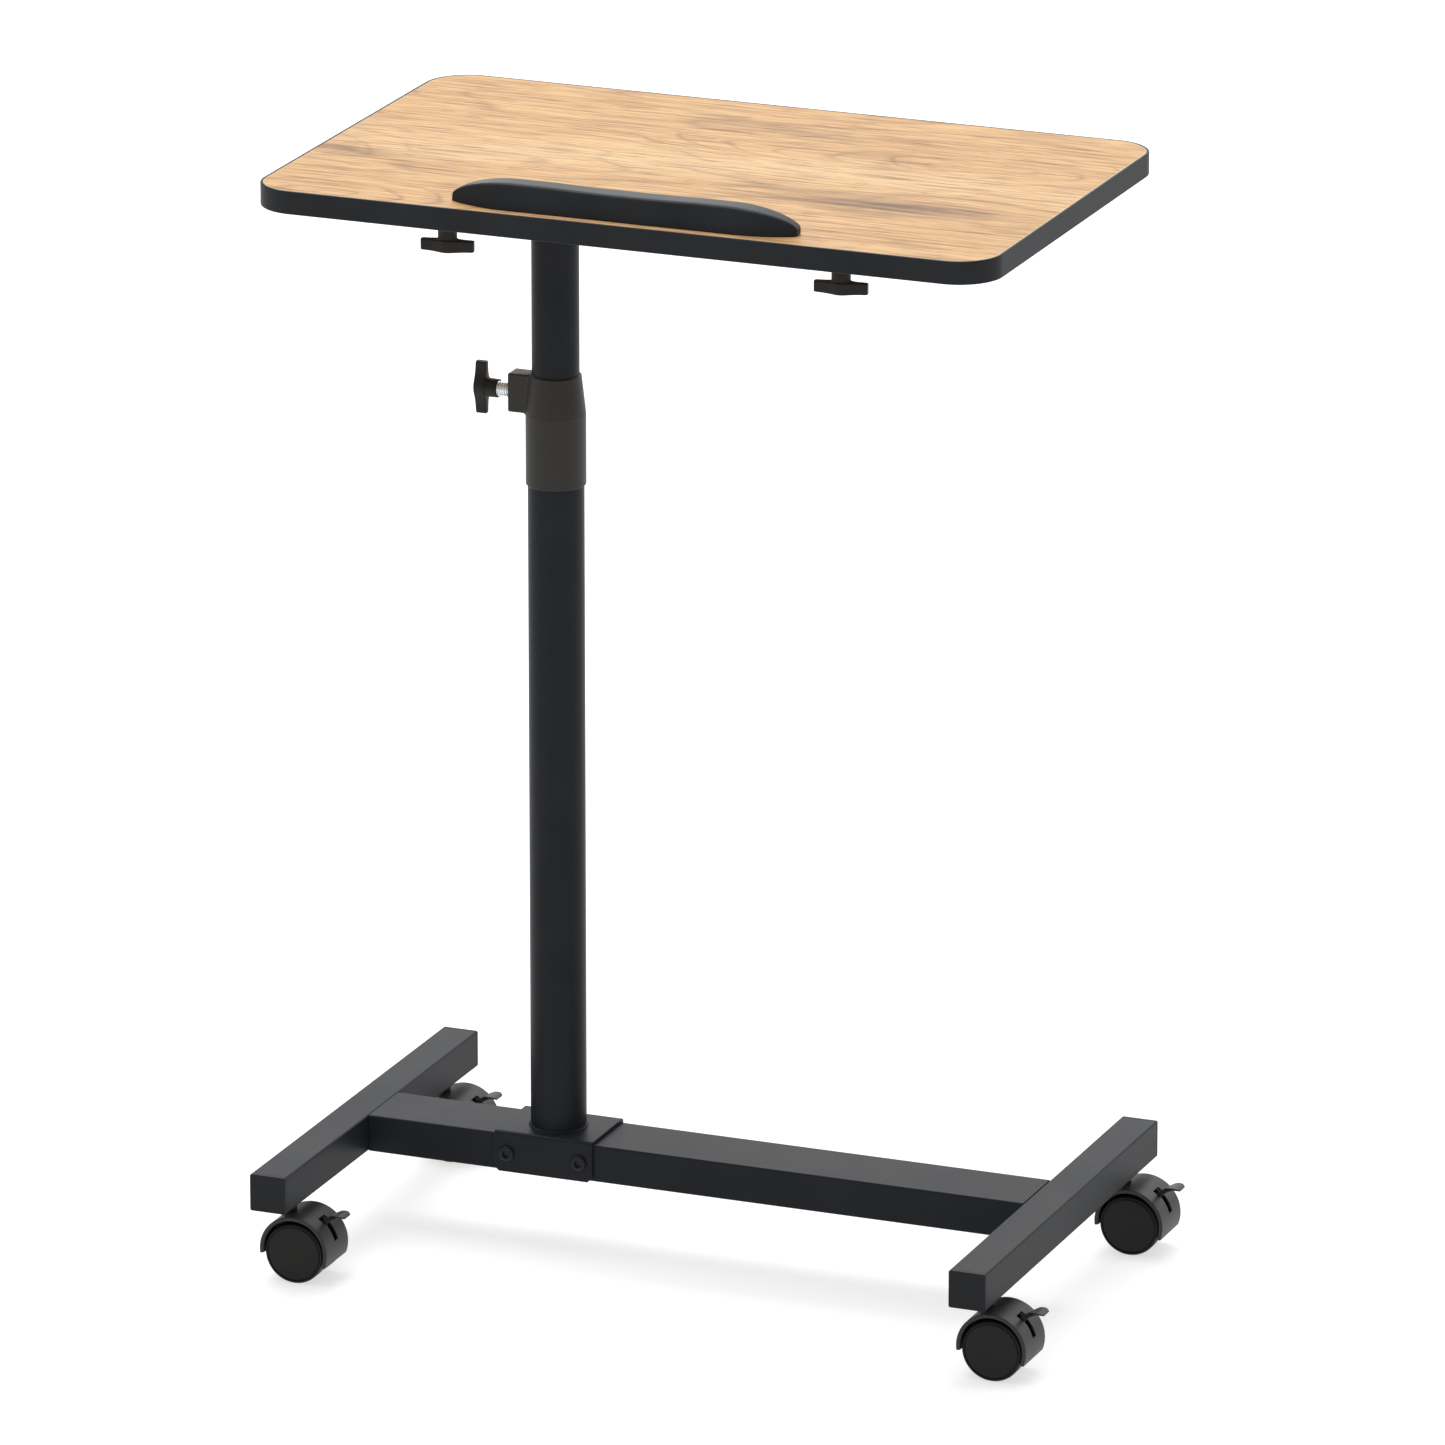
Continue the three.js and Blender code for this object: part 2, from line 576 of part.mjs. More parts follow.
// Jaw: loose plate that the T-knob draws up against the rod.
function jawGeometry() {
  const top = -PIVOT_DROP - GAP;
  return carve(
    [box(-CLAMP_HALF, CLAMP_HALF, CLAMP_FRONT_Y, CLAMP_BACK_Y, -JAW_BOTTOM, top)],
    [
      bar(PIVOT_RADIUS + GAP, [-CLAMP_HALF - 1, PIVOT_Y, -PIVOT_DROP], [CLAMP_HALF + 1, PIVOT_Y, -PIVOT_DROP], 16),
      bar(BOARD_STUD_RADIUS + GAP, [0, CLAMP_Y, -JAW_BOTTOM - 1], [0, CLAMP_Y, top + 1], 16),
    ],
  );
}

const BOARD_KNOB_DROP = JAW_BOTTOM + GAP + KNOB_TOP;

function boardKnobGeometry() {
  const knob = knobGeometry(BOARD_STUD_RADIUS).rotateZ(THREE.MathUtils.degToRad(BOARD_KNOB_TURN));
  return knob.translate(0, CLAMP_Y, -BOARD_KNOB_DROP);
}

function boardStudGeometry() {
  const low = -BOARD_KNOB_DROP + KNOB_DEPTH + KNOB_CROWN - KNOB_STUD_SEAT + GAP;
  return bar(BOARD_STUD_RADIUS, [0, CLAMP_Y, low], [0, CLAMP_Y, -SADDLE_SKIN - GAP], 16);
}

const clamps = [-1, 1].map((side) => {
  const name = side < 0 ? 'left' : 'right';
  return group(
    side * CLAMP_X, 0, 0,
    part(`board_saddle_${name}`, saddleGeometry(), STEEL_BLACK),
    part(`board_jaw_${name}`, jawGeometry(), STEEL_BLACK),
    part(`board_stud_${name}`, boardStudGeometry(), ZINC),
    part(`board_knob_${name}`, boardKnobGeometry(), COLLAR_BLACK),
  );
});

const board = group(
  BOARD_X, 0, BOARD_UNDERSIDE,
  part('board_core', coreGeometry(), OAK),
  part('edge_band', bandGeometry(), EDGE),
  group(0, 0, BOARD_THICKNESS + GAP, part('stop_bar', stopGeometry(), STOP_BLACK)),
  ...clamps,
);

// ---------------------------------------------------------------- casters

// The wheels stand on one of their flat sides.
const AXLE_Z = WHEEL_RADIUS * Math.cos(Math.PI / WHEEL_SIDES);

function arcPoints(radius, from, to, steps) {
  const points = [];
  for (let i = 0; i <= steps; i += 1) {
    const angle = THREE.MathUtils.degToRad(from + ((to - from) * i) / steps);
    points.push([radius * Math.cos(angle), radius * Math.sin(angle)]);
  }
  return points;
}

// Part of a ring about the axle, drawn in X and Z.
function ringSector(inner, outer, from, to, steps) {
  return polygon([...arcPoints(outer, from, to, steps), ...arcPoints(inner, from, to, steps).reverse()]);
}

// Hood: half-round shell over both wheels, a middle web that holds axle and stem, a
// round neck on top, and a T-shaped slot in front where the pedal comes out.
function hoodGeometry() {
  const inner = HOOD_RADIUS - HOOD_WALL;
  const slot = PEDAL_HALF + PEDAL_PLAY;
  const [px, pz] = PEDAL_PIVOT;
  const through = (radius, half, sides) => bar(radius, [px, -half, pz], [px, half, pz], sides);
  const lifted = (sector, half) => alongY(sector, -half, half).translate(0, 0, HOOD_LIFT);
  const shell = lifted(ringSector(inner, HOOD_RADIUS, HOOD_FROM, HOOD_TO, 18), HOOD_HALF);
  const web = lifted(polygon([...arcPoints(HOOD_RADIUS - 1, HOOD_FROM + 1, HOOD_TO - 2, 12), [-10, -10.5], [10, -10.5]]), WEB_HALF);
  const neck = bar(WEB_HALF, [-AXLE_X, 0, 10], [-AXLE_X, 0, NECK_TOP - AXLE_Z], 16);
  const slit = lifted(ringSector(inner - 1, HOOD_RADIUS + 1, SLOT_FROM, SLOT_TO, 4), slot);
  const window = lifted(ringSector(inner - 1, HOOD_RADIUS + 1, WINDOW_FROM, SLOT_TO, 1), WINDOW_HALF);
  const sweep = arcPoints(18, -8, 96, 4).map(([x, z]) => [px + x, pz + z]);
  const pocket = alongY(polygon([[px - 1, pz - 1], ...sweep]), -slot, slot);
  return carve([shell, web, neck], [
    slit, window, pocket, through(4.5, slot, 12), through(TRUNNION_RADIUS + 0.35, WEB_HALF + 1, 10),
    bar(AXLE_RADIUS + GAP, [0, -WEB_HALF - 1, 0], [0, WEB_HALF + 1, 0], 16),
    bar(STEM_RADIUS + GAP, [-AXLE_X, 0, PIN_BOTTOM], [-AXLE_X, 0, NECK_TOP], 16),
  ]);
}

// Pedal: a curved lever on two trunnions, with a wider domed paddle at its end.
function pedalGeometry() {
  const [px, pz] = PEDAL_PIVOT;
  const lever = new THREE.Shape();
  lever.moveTo(px + 2.2, pz - 2.4);
  lever.quadraticCurveTo(19.5, 21.5, 29.5, 28.8);
  lever.lineTo(PEDAL_TIP, 28.2);
  lever.lineTo(PEDAL_TIP, 29.4);
  lever.quadraticCurveTo(32.5, 33, 26, 29.6);
  lever.quadraticCurveTo(16, 24.5, px - 1.8, pz + 2.6);
  const arm = alongY(lever, -PEDAL_HALF, PEDAL_HALF, 4);
  const eye = bar(3.3, [px, -PEDAL_HALF, pz], [px, PEDAL_HALF, pz], 12);
  const trunnion = bar(TRUNNION_RADIUS, [px, -WEB_HALF + 0.2, pz], [px, WEB_HALF - 0.2, pz], 10);
  const plan = polygon([
    [25, -PEDAL_HALF], [29.5, -PADDLE_HALF], [34.5, -PADDLE_HALF], [PEDAL_TIP + 1, -5],
    [PEDAL_TIP + 1, 5], [34.5, PADDLE_HALF], [29.5, PADDLE_HALF], [25, PEDAL_HALF],
  ]);
  const paddle = extrude(plan, 20).translate(0, 0, 15);
  const blade = solid(alongY(lever, -PADDLE_HALF - 1, PADDLE_HALF + 1, 4)).intersect(solid(paddle));
  return surface(solid(carve([arm, eye, trunnion])).add(blade));
}

// Wheel turned about Y, with a closed outer face and a blind bore for the axle.
function wheelGeometry() {
  const [r, face, bore] = [WHEEL_RADIUS, WHEEL_OUTER, AXLE_RADIUS + GAP];
  const profile = [
    [0, face], [r - WHEEL_SOFT, face], [r, face - WHEEL_SOFT], [r, WHEEL_INNER], [bore, WHEEL_INNER],
    [bore, face - WHEEL_FACE], [0, face - WHEEL_FACE],
  ];
  const points = profile.map(([radius, y]) => new THREE.Vector2(radius, y));
  return new THREE.LatheGeometry(points, WHEEL_SIDES, Math.PI / WHEEL_SIDES);
}

// Stem: the lower pin turns in the hood, the hexagon seats under the leg, and the
// upper end screws into the leg's weld nut.
function stemGeometry() {
  return carve([
    bar(STEM_RADIUS, [0, 0, AXLE_Z + PIN_BOTTOM + GAP], [0, 0, STEM_TOP], 16),
    bar(7.2, [0, 0, NECK_TOP + GAP], [0, 0, LEG_BOTTOM - GAP], 6),
  ]);
}

function caster(name, x, y) {
  const far = part(`${name}_wheel_rear`, wheelGeometry(), CASTER_BLACK);
  const near = part(`${name}_wheel_front`, wheelGeometry(), CASTER_BLACK);
  near.rotation.z = Math.PI;
  const reach = WHEEL_OUTER - WHEEL_FACE - GAP;
  return group(
    x, y, 0,
    part(`${name}_stem`, stemGeometry(), ZINC),
    group(
      AXLE_X, 0, AXLE_Z,
      part(`${name}_hood`, hoodGeometry(), CASTER_BLACK),
      far, near,
      part(`${name}_axle`, bar(AXLE_RADIUS, [0, -reach, 0], [0, reach, 0], 16), ZINC),
      part(`${name}_pedal`, pedalGeometry(), CASTER_BLACK),
    ),
  );
}

const casters = [
  caster('caster_front_left', -LEG_X, CASTER_FRONT_Y),
  caster('caster_front_right', LEG_X, CASTER_FRONT_Y),
  caster('caster_rear_left', -LEG_X, CASTER_REAR_Y),
  caster('caster_rear_right', LEG_X, CASTER_REAR_Y),
];

// ---------------------------------------------------------------- whole table

const table = new THREE.Group();
table.add(group(-OUTLINE_OFFSET, 0, 0, baseFrame, column, tiltFrame, board, ...casters));

export default table;
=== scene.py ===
"""Mobile overbed table: a tilting oak-laminate board on a telescopic column, on an H-shaped
base with four braked twin-wheel casters. Lengths are in millimetres until a mesh is made."""

import math

import bmesh
import bpy
import numpy as np
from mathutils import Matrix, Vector


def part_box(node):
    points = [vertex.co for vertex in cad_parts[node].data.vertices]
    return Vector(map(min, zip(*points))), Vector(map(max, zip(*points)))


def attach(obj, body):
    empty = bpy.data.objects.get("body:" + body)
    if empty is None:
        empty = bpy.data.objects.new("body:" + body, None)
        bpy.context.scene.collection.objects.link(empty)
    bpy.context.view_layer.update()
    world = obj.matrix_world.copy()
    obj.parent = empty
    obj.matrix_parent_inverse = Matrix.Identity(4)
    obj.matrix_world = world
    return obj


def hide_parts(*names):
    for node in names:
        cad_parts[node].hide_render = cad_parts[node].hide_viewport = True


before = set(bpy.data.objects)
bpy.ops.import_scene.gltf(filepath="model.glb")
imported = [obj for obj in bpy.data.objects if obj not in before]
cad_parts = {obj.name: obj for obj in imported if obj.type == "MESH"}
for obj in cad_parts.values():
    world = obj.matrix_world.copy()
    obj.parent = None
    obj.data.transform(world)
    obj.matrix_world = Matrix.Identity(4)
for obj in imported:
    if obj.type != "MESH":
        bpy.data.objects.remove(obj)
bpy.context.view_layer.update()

# ---------------------------------------------------------------------------------------
# Camera. It looks down on the table from its front right, through a long lens, so that
# upright lines stay nearly parallel.

CAMERA_TURN = math.radians(21.99)
CAMERA_RISE = math.radians(17.49)
CAMERA_DISTANCE = 9.445
CAMERA_LENS = 304.6
camera_aim = Vector((-0.0029, -0.0006, 0.4437))

camera_data = bpy.data.cameras.new("camera")
camera_data.lens = CAMERA_LENS
camera_data.sensor_width = 36
camera_data.clip_end = 100
camera = bpy.data.objects.new("camera", camera_data)
bpy.context.scene.collection.objects.link(camera)
camera_side = Vector((
    math.sin(CAMERA_TURN) * math.cos(CAMERA_RISE),
    -math.cos(CAMERA_TURN) * math.cos(CAMERA_RISE),
    math.sin(CAMERA_RISE),
))
camera.location = camera_aim + CAMERA_DISTANCE * camera_side
camera.rotation_euler = camera_side.to_track_quat("Z", "Y").to_euler()
bpy.context.scene.camera = camera

# ---------------------------------------------------------------------------------------
# Board: an 18 mm particle board faced with oak-print laminate, its corners rounded to
# 35 mm. The laminate is trimmed to a fine bevel where it meets the edge band. The bevel's
# pale colour is partly the trimmed laminate's own colour and partly a painted highlight
# along the top edge.


def cad_box(node):
    """Lowest and highest corner of a CAD node, in millimetres."""
    low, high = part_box(node)
    return np.array(low) * 1000, np.array(high) * 1000


def rounded(half_a, half_b, radius, steps=10):
    """Outline of a rounded rectangle: a quarter circle about a centre one radius in from
    each corner, all four in anticlockwise order. Each argument may be an array, which
    gives one outline for each of its values."""
    half_a, half_b, radius = np.broadcast_arrays(half_a, half_b, radius)
    quarter = np.linspace(0, math.pi / 2, steps + 1)
    angle = (quarter + np.arange(4)[:, None] * math.pi / 2).ravel()
    side_a = np.repeat([1, -1, -1, 1], steps + 1)
    side_b = np.repeat([1, 1, -1, -1], steps + 1)
    a = side_a * (half_a - radius)[..., None] + radius[..., None] * np.cos(angle)
    b = side_b * (half_b - radius)[..., None] + radius[..., None] * np.sin(angle)
    return np.stack([a, b], -1)


def rim(low, high, soft, steps=4):
    """Stations from low to high with both rims rounded: a quarter turn of radius 'soft'
    at each end. Gives (how far the outline is drawn in, position) at each station."""
    turn = np.linspace(0, math.pi / 2, steps + 1)
    inset = soft * (1 - np.sin(turn))
    travel = soft * (1 - np.cos(turn))
    return np.concatenate([inset, inset[::-1]]), np.concatenate([low + travel, (high - travel)[::-1]])


def along(outlines, position, axis):
    """Places flat outlines across an axis at a column of positions, one for each."""
    place = np.broadcast_to(position, outlines.shape[:-1])
    a, b = outlines[..., 0], outlines[..., 1]
    order = {"x": (place, a, b), "y": (a, place, b), "z": (a, b, place)}[axis]
    return np.stack(order, -1)


def skin(rings, ring_closed=False):
    """Faces over a stack of rings with equal counts of points: quads join each point and
    its neighbour to those of the next ring. The last ring joins the first if ring_closed,
    and otherwise each end has one flat face."""
    index = np.arange(rings.shape[0] * rings.shape[1]).reshape(rings.shape[:2])
    near = index if ring_closed else index[:-1]
    far = np.roll(index, -1, 0) if ring_closed else index[1:]
    quads = np.stack([near, np.roll(near, -1, 1), np.roll(far, -1, 1), far], -1).reshape(-1, 4)
    ends = [] if ring_closed else [index[0, ::-1].tolist(), index[-1].tolist()]
    return rings.reshape(-1, 3), quads.tolist() + ends


def fit(name, skins, finish, body, nodes=(), crease=32, second=None):
    """Makes one object from closed skins, turns its faces outwards, smooths it up to the
    crease angle, and hangs it on its body. 'second' is (finish, test on face centres) for
    the faces that have another finish."""
    points, faces = [], []
    for skin_points, skin_faces in skins:
        start = sum(len(p) for p in points)
        points.append(skin_points)
        faces += [[corner + start for corner in face] for face in skin_faces]
    mesh = bpy.data.meshes.new(name)
    mesh.from_pydata((np.concatenate(points) * 0.001).tolist(), [], faces)
    shape = bmesh.new()
    shape.from_mesh(mesh)
    bmesh.ops.recalc_face_normals(shape, faces=shape.faces)
    shape.to_mesh(mesh)
    shape.free()
    mesh.shade_smooth()
    mesh.set_sharp_from_angle(angle=math.radians(crease))
    mesh.materials.append(finish)
    if second:
        mesh.materials.append(second[0])
        centres = np.empty(len(mesh.polygons) * 3)
        mesh.polygons.foreach_get("center", centres)
        chosen = second[1](centres.reshape(-1, 3) * 1000)
        mesh.polygons.foreach_set("material_index", chosen.astype(np.int32))
    piece = bpy.data.objects.new(name, mesh)
    bpy.context.scene.collection.objects.link(piece)
    weighted = piece.modifiers.new("even_shading", "WEIGHTED_NORMAL")
    weighted.keep_sharp = True
    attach(piece, body)
    if nodes:
        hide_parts(*nodes)
    return piece


def shader(name):
    """A new material: its node tree, its surface shader and its Object coordinates."""
    material = bpy.data.materials.new(name)
    material.use_nodes = True
    tree = material.node_tree
    place = tree.nodes.new("ShaderNodeTexCoord").outputs["Object"]
    return material, tree, tree.nodes["Principled BSDF"], place


def noise(tree, place, scale, stretch=(1, 1, 1), detail=3, wander=0.0, offset=(0, 0, 0)):
    """Cloud noise of so many cycles per metre, with each axis's scale times its stretch."""
    mapping = tree.nodes.new("ShaderNodeMapping")
    mapping.inputs["Scale"].default_value = stretch
    mapping.inputs["Location"].default_value = offset
    tree.links.new(place, mapping.inputs["Vector"])
    cloud = tree.nodes.new("ShaderNodeTexNoise")
    cloud.inputs["Scale"].default_value = scale
    cloud.inputs["Detail"].default_value = detail
    cloud.inputs["Distortion"].default_value = wander
    tree.links.new(mapping.outputs["Vector"], cloud.inputs["Vector"])
    return cloud.outputs["Fac"]


def sums(tree, how, first, second):
    """One step of arithmetic on two numbers or sockets."""
    step = tree.nodes.new("ShaderNodeMath")
    step.operation = how
    for socket, value in zip(step.inputs, (first, second)):
        if isinstance(value, (int, float)):
            socket.default_value = value
        else:
            tree.links.new(value, socket)
    return step.outputs[0]


def ramp(tree, value, *stops):
    """Colours at positions 0 to 1 along a value, blended in between."""
    node = tree.nodes.new("ShaderNodeValToRGB")
    elements = node.color_ramp.elements
    elements[0].position, elements[1].position = stops[0][0], stops[-1][0]
    for position, _ in stops[1:-1]:
        elements.new(position)
    for element, (_, colour) in zip(elements, stops):
        element.color = (*colour, 1)
    tree.links.new(value, node.inputs["Fac"])
    return node.outputs["Color"]


def mixed(tree, amount, first, second, how="MIX"):
    """Blends two colours or colour sockets by an amount."""
    node = tree.nodes.new("ShaderNodeMix")
    node.data_type = "RGBA"
    node.blend_type = how
    amount_input, first_input, second_input = node.inputs[0], node.inputs[6], node.inputs[7]
    for socket, value in ((amount_input, amount), (first_input, first), (second_input, second)):
        if isinstance(value, tuple):
            socket.default_value = (*value, 1)
        elif isinstance(value, (int, float)):
            socket.default_value = value
        else:
            tree.links.new(value, socket)
    return node.outputs[2]


def relief(tree, surface, height, depth):
    """Bump of so many metres from a height socket."""
    bump = tree.nodes.new("ShaderNodeBump")
    bump.inputs["Distance"].default_value = depth
    tree.links.new(height, bump.inputs["Height"])
    tree.links.new(bump.outputs["Normal"], surface.inputs["Normal"])


def between(tree, value, low, high):
    """Maps a 0 to 1 value to low to high."""
    node = tree.nodes.new("ShaderNodeMapRange")
    node.inputs["To Min"].default_value = low
    node.inputs["To Max"].default_value = high
    tree.links.new(value, node.inputs["Value"])
    return node.outputs["Result"]


OAK_RINGS = 15.0
OAK_HILL = 0.36
OAK_RING_DEPTH = 0.66
OAK_STREAK_DEPTH = 0.9
OAK_FIBRE_DEPTH = 0.85
OAK_PORE_DEPTH = 0.8
OAK_TILT = math.radians(2)
OAK_LIGHT = (0.628, 0.394, 0.187)
OAK_MIDDLE = (0.490, 0.288, 0.124)
OAK_DARK = (0.200, 0.100, 0.042)
SMOKE = (0.150, 0.082, 0.048)
PALE = (0.780, 0.570, 0.335)

# Patches of the print: colour, middle in X and Y, half length, half width and depth.
OAK_PATCHES = (
    (PALE, 0.02, 0.018, 0.46, 0.058, 0.75),
    (PALE, -0.16, -0.030, 0.14, 0.030, 0.45),
    (SMOKE, 0.175, -0.050, 0.135, 0.026, 1.35),
    (SMOKE, 0.105, -0.032, 0.11, 0.013, 0.85),
    (SMOKE, -0.262, -0.048, 0.055, 0.014, 1.1),
    (SMOKE, 0.03, 0.128, 0.11, 0.014, 0.7),
    (SMOKE, -0.13, 0.098, 0.13, 0.012, 0.55),
    (SMOKE, 0.10, 0.080, 0.07, 0.010, 0.6),
    (SMOKE, -0.20, 0.150, 0.10, 0.012, 0.5),
)
# Places that the growth rings close round in arches: middle, half length, half width.
OAK_ARCHES = ((-0.245, -0.165, 0.20, 0.075), (0.170, 0.075, 0.24, 0.075))
PATCH_HEIGHT = 1000
COLOUR_DRIFT = 0.14
GLOSS_DRIFT = 0.05


def warped(tree, place):
    """Object coordinates pushed about by a low noise, so that a patch has a ragged rim."""
    cloud = tree.nodes.new("ShaderNodeTexNoise")
    cloud.inputs["Scale"].default_value = 22
    tree.links.new(place, cloud.inputs["Vector"])
    push = tree.nodes.new("ShaderNodeVectorMath")
    push.operation = "MULTIPLY_ADD"
    push.inputs[1].default_value = (0.05, 0.02, 0)
    tree.links.new(cloud.outputs["Color"], push.inputs[0])
    tree.links.new(place, push.inputs[2])
    return push.outputs[0]


def patch(tree, ragged, middle_x, middle_y, length, width):
    """1 at the middle of an upright oval column, falling evenly to 0 at its rim. The column
    is a ball drawn out so far in height that the height no longer matters."""
    mapping = tree.nodes.new("ShaderNodeMapping")
    mapping.vector_type = "TEXTURE"
    mapping.inputs["Location"].default_value = (middle_x, middle_y, 0)
    mapping.inputs["Rotation"].default_value = (0, 0, OAK_TILT)
    mapping.inputs["Scale"].default_value = (length, width, PATCH_HEIGHT)
    tree.links.new(ragged, mapping.inputs["Vector"])
    ball = tree.nodes.new("ShaderNodeTexGradient")
    ball.gradient_type = "SPHERICAL"
    tree.links.new(mapping.outputs["Vector"], ball.inputs["Vector"])
    return ball.outputs["Fac"]


def oak_print():
    """Oak print with its grain along X. The growth rings are contour lines of a cloud
    that is stretched along the grain and has two low hills, so they run straight in most
    places and close into arches round the hills. Bands, fibre streaks, short pores, pale
    stretches and smoky patches lie over them."""
    material, tree, surface, place = shader("oak_print")
    ragged = warped(tree, place)
    rise = noise(tree, place, 1.0, (1.5, 6.5, 0), detail=2, wander=0.2, offset=(3.1, 1.7, 0))
    for hill in OAK_ARCHES:
        rise = sums(tree, "ADD", rise, sums(tree, "MULTIPLY", patch(tree, ragged, *hill), OAK_HILL))
    rings = sums(tree, "FRACT", sums(tree, "MULTIPLY", rise, OAK_RINGS), 0)
    ring_stops = ((0.0, 0.5), (0.07, 0.05), (0.78, 0.0), (0.94, 1.0), (1.0, 0.5))
    ring_lines = ramp(tree, rings, *((stop, (level,) * 3) for stop, level in ring_stops))
    patchy = noise(tree, place, 1.0, (7, 26, 0), detail=3, offset=(9, 2, 0))
    ring_depth = sums(tree, "MULTIPLY", ring_lines, between(tree, patchy, -0.25, 1.35))
    bands = noise(tree, place, 1.0, (2.6, 110, 0), detail=5, wander=0.12, offset=(2, 5, 0))
    streaks = noise(tree, place, 1.0, (11, 210, 0), detail=2, wander=0.1, offset=(7, 3, 0))
    fibre = noise(tree, place, 1.0, (13, 360, 0), detail=5, wander=0.1)
    pores = noise(tree, place, 1.0, (32, 800, 0), detail=2, offset=(4, 4, 0))
    wood = mixed(tree, between(tree, bands, -0.4, 1.25), OAK_LIGHT, OAK_MIDDLE)
    wood = mixed(tree, sums(tree, "MULTIPLY", ring_depth, OAK_RING_DEPTH), wood, OAK_DARK)
    for colour, spot_x, spot_y, length, width, depth in OAK_PATCHES:
        oval = patch(tree, ragged, spot_x, spot_y, length, width)
        strength = sums(tree, "MULTIPLY", oval, between(tree, bands, -0.5 * depth, 1.7 * depth))
        wood = mixed(tree, strength, wood, colour)
    streak_shade = ramp(tree, streaks, (0.30, (0.50, 0.39, 0.30)), (0.41, (1.0, 1.0, 1.0)))
    fibre_shade = ramp(tree, fibre, (0.36, (0.62, 0.54, 0.46)), (0.55, (1.0, 1.0, 1.0)))
    pore_shade = ramp(tree, pores, (0.32, (0.36, 0.27, 0.20)), (0.42, (1.0, 1.0, 1.0)))
    wood = mixed(tree, OAK_STREAK_DEPTH, wood, streak_shade, "MULTIPLY")
    wood = mixed(tree, OAK_FIBRE_DEPTH, wood, fibre_shade, "MULTIPLY")
    wood = mixed(tree, OAK_PORE_DEPTH, wood, pore_shade, "MULTIPLY")
    tree.links.new(wood, surface.inputs["Base Color"])
    tree.links.new(between(tree, fibre, 0.46, 0.60), surface.inputs["Roughness"])
    surface.inputs["Specular IOR Level"].default_value = 0.22
    relief(tree, surface, fibre, 0.00006)
    return material


def moulded(name, colour, roughness, grain, depth, shine=0.3, metal=0.0, tint=(1, 1, 1)):
    """A moulded, painted or plated surface: its colour drifts a little in broad clouds,
    its gloss drifts with them, and a fine grain of so many cycles per metre stands up by
    the depth given in metres."""
    material, tree, surface, place = shader(name)
    drift = noise(tree, place, 18, detail=4)
    darker = tuple((1 - COLOUR_DRIFT) * c for c in colour)
    lighter = tuple((1 + COLOUR_DRIFT) * c for c in colour)
    tree.links.new(ramp(tree, drift, (0.3, darker), (0.7, lighter)), surface.inputs["Base Color"])
    gloss = between(tree, drift, roughness - GLOSS_DRIFT, roughness + GLOSS_DRIFT)
    tree.links.new(gloss, surface.inputs["Roughness"])
    surface.inputs["Specular IOR Level"].default_value = shine
    surface.inputs["Specular Tint"].default_value = (*tint, 1)
    surface.inputs["Metallic"].default_value = metal
    relief(tree, surface, noise(tree, place, grain, detail=2), depth)
    return material


OAK_BEVEL = 0.6
OAK_BEVEL_HEIGHT = 0.25
CORE_ARRIS = 0.4
CORE_CORNER = 32.9
CORNER_STEPS = 20

core_low, core_high = cad_box("board_core")
core_middle = (core_low + core_high) / 2
core_half = (core_high - core_low) / 2
core_inset = np.array([CORE_ARRIS, 0.0, 0.0, OAK_BEVEL])
core_z = np.array([core_low[2], core_low[2] + CORE_ARRIS, core_high[2] - OAK_BEVEL_HEIGHT, core_high[2]])
core_rings = rounded(
    core_half[0] - core_inset, core_half[1] - core_inset, CORE_CORNER - core_inset, CORNER_STEPS,
)
core_rings = along(core_rings + core_middle[:2], core_z[:, None], "z")
oak = oak_print()
# Pale bevel colour: partly the trimmed laminate's own colour, partly a painted highlight along the board's
# top edge.
laminate_edge_highlight = moulded(
    "laminate_edge_highlight", (0.50, 0.42, 0.31), roughness=0.5, grain=2000, depth=0.00001,
)
fit(
    "oak_board", [skin(core_rings)], oak, "board", ["board_core"],
    second=(laminate_edge_highlight, lambda c: (c[:, 2] > core_z[2]) & (c[:, 2] < core_z[3] - 0.01)),
)

# ---------------------------------------------------------------------------------------
# Edge band: a 2 mm strip of black ABS glued round the board and milled to a 1 mm radius
# on both rims.

BAND_SOFT = 1.0
BOARD_CORNER = 35.0
BAND_THICKNESS = 2.0

band_low, band_high = cad_box("edge_band")
band_middle = (band_low + band_high) / 2
band_half = (band_high - band_low) / 2
band_inset, band_z = rim(band_low[2], band_high[2], BAND_SOFT, 5)
band_inset = np.concatenate([[BAND_THICKNESS], band_inset, [BAND_THICKNESS]])
band_z = np.concatenate([band_z[:1], band_z, band_z[-1:]])
band_rings = rounded(
    band_half[0] - band_inset, band_half[1] - band_inset, BOARD_CORNER - band_inset, CORNER_STEPS,
)
band_rings = along(band_rings + band_middle[:2], band_z[:, None], "z")
edge_black = moulded(
    "edge_black", (0.0200, 0.0216, 0.0240), roughness=0.45, grain=1400, depth=0.000012,
    shine=0.10, tint=(0.9, 0.95, 1.0),
)
fit("edge_strip", [skin(band_rings, True)], edge_black, "board", ["edge_band"])

# ---------------------------------------------------------------------------------------
# Stop bar: a moulded lip screwed to the board near its front edge, so that a book or a
# screen can't slide off when the board is tilted. It falls away to both tips.

STOP_SHOULDER = 86.0
STOP_STRAIGHT = 93.0
STOP_SWEEP = 12.5
STOP_TIP_HEIGHT = 5.0
STOP_FALL_POWER = 0.68
STOP_DIP = 0.8
STOP_DIP_HALF = 60.0
STOP_RAKE = 4.0
STOP_TIP_ROUND = 1.2
STOP_TIP_SHRINK = 0.16
STOP_BENDS = (0.3, 0.5, 3.2, 2.0)


def bent(start, pull, end, t):
    """A parabola from start to end, for t from 0 to 1, with pull as its control point."""
    return (1 - t) ** 2 * start + 2 * t * (1 - t) * pull + t ** 2 * end


